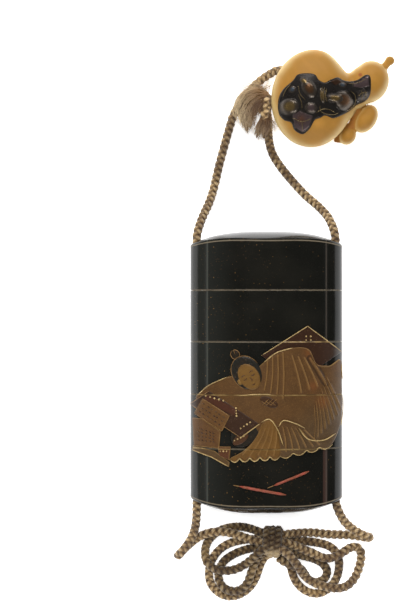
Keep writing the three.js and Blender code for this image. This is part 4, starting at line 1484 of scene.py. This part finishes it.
def ivory_finish():
    """Aged ivory: honey coloured on top, paler down the sides as painted light from the table beneath, and
    stained round the vine.
    """
    netsuke = bpy.context.scene.inro_netsuke
    f = Finish("Aged ivory")
    up = f.attribute("up")
    cloud = f.noise(95, 3.0)
    grain = f.node(
        "ShaderNodeTexWave", {"bands_direction": "DIAGONAL"},
        {"Vector": f.place, "Scale": 120.0, "Distortion": 6.0, "Detail": 3.0}, out="Fac",
    )
    # Paler where the surface faces sideways or down: painted light from the table beneath.
    base = f.mix((up + (cloud - 0.5) * 0.35).ramp(0.3, 0.85), tuple(netsuke.pale), tuple(netsuke.ivory))
    base = f.mix(cloud.ramp(0.52, 0.8, 0.0, 0.5), base, tone(186, 134, 62))
    base = f.mix(grain.ramp(0.5, 1.0, 0.0, 0.12), base, tone(170, 118, 56))
    base = f.mix(f.attribute("stain"), base, tuple(netsuke.stain))
    return f.done(
        Base_Color=base, Roughness=cloud.ramp(0.3, 0.7, 0.4, 0.52), Specular_IOR_Level=0.18,
        Normal=f.bump(f.noise(1500, 2.0), 0.03 * MM, 0.4),
    )


def inlay_finish():
    f = Finish("Dark metal")
    tint = f.attribute("tint", "Color")
    cloud = f.noise(420, 4.0, 0.6)
    base = f.mix(cloud.ramp(0.4, 0.75, 0.0, 0.5), tint, f.mix(0.5, tint, tone(30, 27, 26)))
    base = f.mix(f.attribute("rim").ramp(0.15, 0.5, 0.7, 0.0), base, tone(30, 27, 25))
    return f.done(
        Base_Color=base, Metallic=0.75, Roughness=cloud.ramp(0.3, 0.7, 0.24, 0.4),
        Normal=f.bump(f.noise(1800, 3.0), 0.03 * MM, 0.5),
    )


def table_finish():
    settings = bpy.context.scene.inro_stage
    f = Finish("Light table")
    return f.done(
        Base_Color=tuple(settings.table), Roughness=0.9, Specular_IOR_Level=0.1,
        Emission_Color=(1.0, 1.0, 1.0, 1.0), Emission_Strength=0.72,
    )


# Operators


def strip_light(name, place, target, size, power, glossy=True):
    """An area light that looks at a target, both in metres."""
    data = bpy.data.lights.new(name, "AREA")
    data.shape = "RECTANGLE"
    data.size, data.size_y = size
    data.energy = power
    light = bpy.data.objects.new(name, data)
    light.location = place
    light.rotation_euler = (Vector(target) - Vector(place)).to_track_quat("-Z", "Y").to_euler()
    light.visible_glossy = glossy
    bpy.context.scene.collection.objects.link(light)


class INRO_OT_stage(bpy.types.Operator):
    """Set up the light table, the soft lights and the camera above"""

    bl_idname = "inro.stage"
    bl_label = "Set the stage"

    def execute(self, context):
        settings = context.scene.inro_stage
        data = bpy.data.cameras.new("Camera")
        data.lens = settings.focal_length
        camera = bpy.data.objects.new("Camera", data)
        camera.location = (settings.camera_x, settings.camera_y, settings.camera_height)
        context.scene.collection.objects.link(camera)
        context.scene.camera = camera
        context.scene.view_settings.view_transform = "Standard"
        self.lay_table()
        self.hang_lights(context)
        return {"FINISHED"}

    def lay_table(self):
        half = 1.5
        below = -0.02 * MM
        corners = [(-half, -half, below), (half, -half, below), (half, half, below), (-half, half, below)]
        mesh = bpy.data.meshes.new("table")
        mesh.from_pydata(corners, [], [(0, 1, 2, 3)])
        mesh.materials.append(table_finish())
        table = bpy.data.objects.new("table", mesh)
        bpy.context.scene.collection.objects.link(table)

    def hang_lights(self, context):
        world = bpy.data.worlds.new("Studio")
        world.use_nodes = True
        world.node_tree.nodes["Background"].inputs["Color"].default_value = (0.10, 0.10, 0.10, 1.0)
        context.scene.world = world
        centre = (0.0, 0.015, 0.01)
        strip_light("Soft top", (-0.25, 0.35, 1.1), centre, (0.9, 0.9), 13.0, glossy=False)
        strip_light("Left strip", (-0.72, 0.02, 0.36), centre, (0.9, 0.04), 0.16)
        strip_light("Right strip", (0.72, 0.02, 0.36), centre, (0.9, 0.04), 0.12)
        strip_light("Far strip", (0.05, 0.75, 0.45), centre, (0.9, 0.05), 3.4)
        strip_light("Near strip", (0.05, -0.75, 0.42), centre, (0.9, 0.06), 4.0)
        strip_light("High panel", (-0.1, 0.75, 0.85), (0.02, 0.09, 0.01), (0.22, 0.12), 1.6)


class INRO_OT_cords(bpy.types.Operator):
    """Braid the two strands that run through the case, and the six loops of the bow"""

    bl_idname = "inro.cords"
    bl_label = "Braid the cords"

    def execute(self, context):
        self.settings = context.scene.inro_cord
        self.tree = braid_tree()
        self.silk = silk("Braided silk")
        # Darker copy of the silk for the inner loops of the bow: painted shade.
        shaded = silk("Shaded silk", 0.6)
        step = 0.4
        tunnel = lambda above, below: evenly(np.array([above[0], below[0]], float), step)[1:-1]
        above_left, above_right = smooth_line(LEFT_ABOVE), smooth_line(RIGHT_ABOVE)
        turn = smooth_line(IN_NETSUKE)
        left = [turn[::-1], above_left[::-1][1:], tunnel(LEFT_ABOVE, LEFT_BELOW), smooth_line(LEFT_BELOW)]
        right = [above_right[::-1], tunnel(RIGHT_ABOVE, RIGHT_BELOW), smooth_line(RIGHT_BELOW)]
        self.braid("cord_left", np.vstack(left))
        self.braid("cord_right", np.vstack(right))
        for name, route in BOW_LOOPS.items():
            self.braid(name, smooth_line(route), shaded if name in SHADED_LOOPS else self.silk)
        return {"FINISHED"}

    def braid(self, name, line, finish=None):
        s = self.settings
        piece = grown(
            name + "_braid", line_mesh([line]), self.tree,
            Material=finish or self.silk, Strand_Radius=s.strand,
            Core_Radius=s.core, Weave_Depth=s.weave, Pitch=s.pitch, Step=s.step,
        )
        settled(piece, "cord", name)


class INRO_OT_knots(bpy.types.Operator):
    """Wind the knot of the bow and the knot above the netsuke, and fray the cord's two ends"""

    bl_idname = "inro.knots"
    bl_label = "Tie the knots"

    def execute(self, context):
        s = context.scene.inro_cord
        sizes = {"Strand_Radius": s.strand, "Core_Radius": s.core, "Weave_Depth": s.weave, "Step": s.step}
        tree = braid_tree()
        bow = wrapped_line(
            (2.5, -56.4, 4.8), (np.array([0, 4.0, 0]), np.array([0, 0, 3.3])), (5.4, 0, 0), 3,
        )
        # The knot's wraps wear silk darkened as painted shade, and paler on their lower side as painted
        # light.
        wrapped = grown(
            "bow_knot_wraps", line_mesh([bow], (1, 0, 0)), tree,
            Material=silk("Wrapped silk", 0.5, (-59.8, -58.2)),
            Pitch=s.pitch * 0.7, **sizes,
        )
        # A solid heart in the knot, in dark silk: painted shade inside the knot.
        heart = shown(
            closed_mesh("bow_knot_heart", *egg((2.5, -56.4, 4.8), (3.6, 3.9, 3.2))), "bow_knot_heart",
        )
        heart.data.materials.append(silk_heart())
        settled(wrapped, "cord", "bow_knot")
        settled(heart, "cord")
        end = wrapped_line(
            (-0.6, 89.4, 4.2), (np.array([0.5, 2.1, 0]), np.array([0, 0, 2.2])), (3.2, -0.6, 0), 2,
        )
        bead = smooth_line([(0.4, 88, 5), (-0.2, 86.6, 6), (-0.4, 85.4, 6.2), (-0.5, 84.4, 5.6)])
        tied = grown(
            "end_knot_wraps", line_mesh([end, bead], (1, 0, 0)), tree, Material=silk("Light silk", 1.15),
            Pitch=s.pitch * 0.8, **sizes,
        )
        settled(tied, "cord", "end_knot")
        hair = loose_silk()
        fibres = fibre_tree()
        for name, tufts, count, thickness, fray in (
            ("end_fibres", TUFTS, 130, 0.06, 0.007), ("stray_fibres", STRAYS, 34, 0.045, 0.015),
        ):
            lines = [smooth_line(course, 0.9) for _, _, course in tufts]
            spreads = [
                spread * MM * (0.45 + 0.55 * gently(np.linspace(0, 1, len(line)), 0, 0.4))
                for (spread, _, _), line in zip(tufts, lines)
            ]
            glows = [np.full(len(line), glow) for (_, glow, _), line in zip(tufts, lines)]
            guides = line_mesh(lines, spread=np.concatenate(spreads), glow=np.concatenate(glows))
            piece = grown(
                name, guides, fibres, Material=hair, Count=count, Thickness=thickness * MM, Fray=fray, Seed=7,
            )
            settled(piece, "cord")
        # The hearts under the fibres wear the dark silk: painted shade.
        hearts = shown(closed_mesh("end_hearts", *gathered(cores_of(TUFTS, 0.75))), "end_hearts")
        hearts.data.materials.append(silk_heart())
        settled(hearts, "cord")
        return {"FINISHED"}


class INRO_OT_case(bpy.types.Operator):
    """Build the five lacquered pieces, with the cord's tunnels through their sides"""

    bl_idname = "inro.case"
    bl_label = "Build the case"

    def execute(self, context):
        finish = lacquer_finish()
        rods = [rod(np.array([(x, -50.0, AXIS_Z), (x, 0.0, AXIS_Z), (x, 50.0, AXIS_Z)]), 1.7, 32)
                for x in (-TUNNEL_X, TUNNEL_X)]
        tunnels = closed_mesh("tunnels", *gathered(rods))
        for name, (points, faces) in case_pieces().items():
            piece = shown(cut(closed_mesh(name, points, faces), tunnels), name + "_lacquer", 30)
            piece.data.materials.clear()
            piece.data.materials.append(finish)
            settled(piece, "lacquer", name)
        return {"FINISHED"}


class INRO_OT_picture(bpy.types.Operator):
    """Raise the gold picture on the case's front"""

    bl_idname = "inro.picture"
    bl_label = "Raise the picture"

    def execute(self, context):
        pieces = {
            "picture_gold": (GOLD_SHAPES, relief_finish("Raised gold", 0.15, 0.5, 0.3, 0)),
            "picture_dark": (DARK_SHAPES, relief_finish("Raised lacquer", 0.0, 0.3, 0.12, 0.5)),
        }
        for name, (shapes, finish) in pieces.items():
            piece = shown(relief(shapes, name), name, 50)
            piece.data.materials.append(finish)
            settled(piece, "lacquer")
        self.draw_lines()
        self.set_dots()
        return {"FINISHED"}

    def draw_lines(self):
        lines, girths, tints = [], [], []
        drawn = [(*values, evenly(np.array(course, float), 0.25)) for *values, course in RULED_LINES]
        drawn += [(*values, plan_line(course, 0.25)) for *values, course in RAISED_LINES]
        for girth, height, tint, plan in drawn:
            share = np.linspace(0, 1, len(plan))
            line = on_front(plan, height * joint_groove(plan[:, 1]))
            lines.append(line)
            girths.append(girth * MM * (0.35 + 0.65 * gently(np.minimum(share, 1 - share), 0, 0.12)))
            tints.append(np.tile(tint, (len(line), 1)))
        source = line_mesh(lines, girth=np.concatenate(girths))
        paint(source, tint=np.vstack(tints))
        piece = grown("picture_lines", source, wire_tree(), Material=line_finish(), Sides=8)
        settled(piece, "lacquer")

    def set_dots(self):
        dots = np.array(GOLD_DOTS, float)
        points = on_front(dots[:, :2], dots[:, 2])
        source = bpy.data.meshes.new("dots")
        source.from_pydata((points * MM).tolist(), [], [])
        rng = random.Random(5)
        paint(
            source, girth=[rng.uniform(0.22, 0.34) * MM for _ in points],
            tint=np.tile(PALE_GOLD, (len(dots), 1)),
        )
        piece = grown("picture_dots", source, bead_tree(), Material=line_finish(), Detail=2)
        settled(piece, "lacquer")


class INRO_OT_netsuke(bpy.types.Operator):
    """Carve the double gourd with its vine and small gourds, and set in the metal plaque"""

    bl_idname = "inro.netsuke"
    bl_label = "Carve the netsuke"

    def execute(self, context):
        gourd = gourd_solid()
        ground = BVHTree.FromPolygons([Vector(point) for point in gourd[0]], gourd[1])
        parts = [
            gourd, rod(smooth_line(STEM), 1.3), egg((41.1, 103.3, 7.1), (1.6, 1.6, 1.5)),
            egg((33.4, 84.3, 4.3), (3.5, 5.1, 3.9), -0.6), egg((27.3, 78.8, 3.4), (2.8, 3.2, 2.9), -0.6),
            rod(smooth_line(VINE), 1.35),
        ]
        body = changed(
            closed_mesh("netsuke_solids", *gathered(parts)),
            ("REMESH", {"mode": "VOXEL", "voxel_size": 0.28 * MM}),
            ("SMOOTH", {"factor": 0.5, "iterations": 6}),
        )
        channel = closed_mesh(
            "channel", *rod(smooth_line([(1.4, 99.5, 1.9), *IN_NETSUKE, (-2.4, 88.6, 4)]), 1.95, 24),
        )
        body = cut(body, channel)
        normals = np.zeros(len(body.vertices) * 3)
        places = np.zeros(len(body.vertices) * 3)
        body.vertices.foreach_get("normal", normals)
        body.vertices.foreach_get("co", places)
        places = places.reshape(-1, 3) / MM
        vine = smooth_line(VINE)
        away = np.min([np.linalg.norm(places - point, axis=1) for point in vine[::2]], axis=0)
        stain = gently(away, 1.7, 0.9)
        stain = np.maximum(stain, 0.9 * gently(np.linalg.norm(places[:, :2] - (31, 98.2), axis=1), 0.8, 0.4))
        paint(body, up=normals.reshape(-1, 3)[:, 2], stain=0.85 * stain)
        piece = shown(body, "netsuke_ivory", 40)
        piece.data.materials.clear()
        piece.data.materials.append(ivory_finish())
        settled(piece, "ivory", "netsuke")
        plaque, on_gourd = inlay_mesh(ground)
        metal = shown(plaque, "netsuke_inlay_metal", 40)
        metal.data.materials.append(inlay_finish())
        settled(metal, "inlay", "netsuke_inlay")
        self.lay_wires(on_gourd)
        return {"FINISHED"}

    def lay_wires(self, on_gourd):
        lines, girths = [], []
        for girth, height, course in WIRES:
            plan = plan_line(course, 0.2)
            lines.append(on_gourd(plan, np.full(len(plan), height)))
            share = np.linspace(0, 1, len(plan))
            girths.append(girth * MM * (0.4 + 0.6 * gently(np.minimum(share, 1 - share), 0, 0.15)))
        source = line_mesh(lines, girth=np.concatenate(girths))
        count = len(source.vertices)
        paint(source, tint=np.tile(tone(128, 110, 76), (count, 1)), rim=np.full(count, 1.0))
        piece = grown("inlay_wires", source, wire_tree(), Material=inlay_finish(), Sides=8)
        settled(piece, "inlay")


class INRO_PT_maker(bpy.types.Panel):
    """The steps that make the inro, in order"""

    bl_label = "Inro"
    bl_idname = "INRO_PT_maker"
    bl_space_type = "VIEW_3D"
    bl_region_type = "UI"
    bl_category = "Inro"

    def draw(self, context):
        for operator in OPERATORS:
            self.layout.operator(operator.bl_idname)


OPERATORS = [INRO_OT_stage, INRO_OT_cords, INRO_OT_knots, INRO_OT_case, INRO_OT_picture, INRO_OT_netsuke]
SETTINGS = {
    "inro_stage": StageSettings,
    "inro_cord": CordSettings,
    "inro_case": CaseSettings,
    "inro_netsuke": NetsukeSettings,
}
CLASSES = [*SETTINGS.values(), *OPERATORS, INRO_PT_maker]


def register():
    for item in CLASSES:
        bpy.utils.register_class(item)
    for name, kind in SETTINGS.items():
        setattr(bpy.types.Scene, name, PointerProperty(type=kind))


def unregister():
    for name in SETTINGS:
        delattr(bpy.types.Scene, name)
    for item in reversed(CLASSES):
        bpy.utils.unregister_class(item)


def main():
    register()
    for operator in OPERATORS:
        group, name = operator.bl_idname.split(".")
        getattr(getattr(bpy.ops, group), name)()


if __name__ == "__main__":
    main()
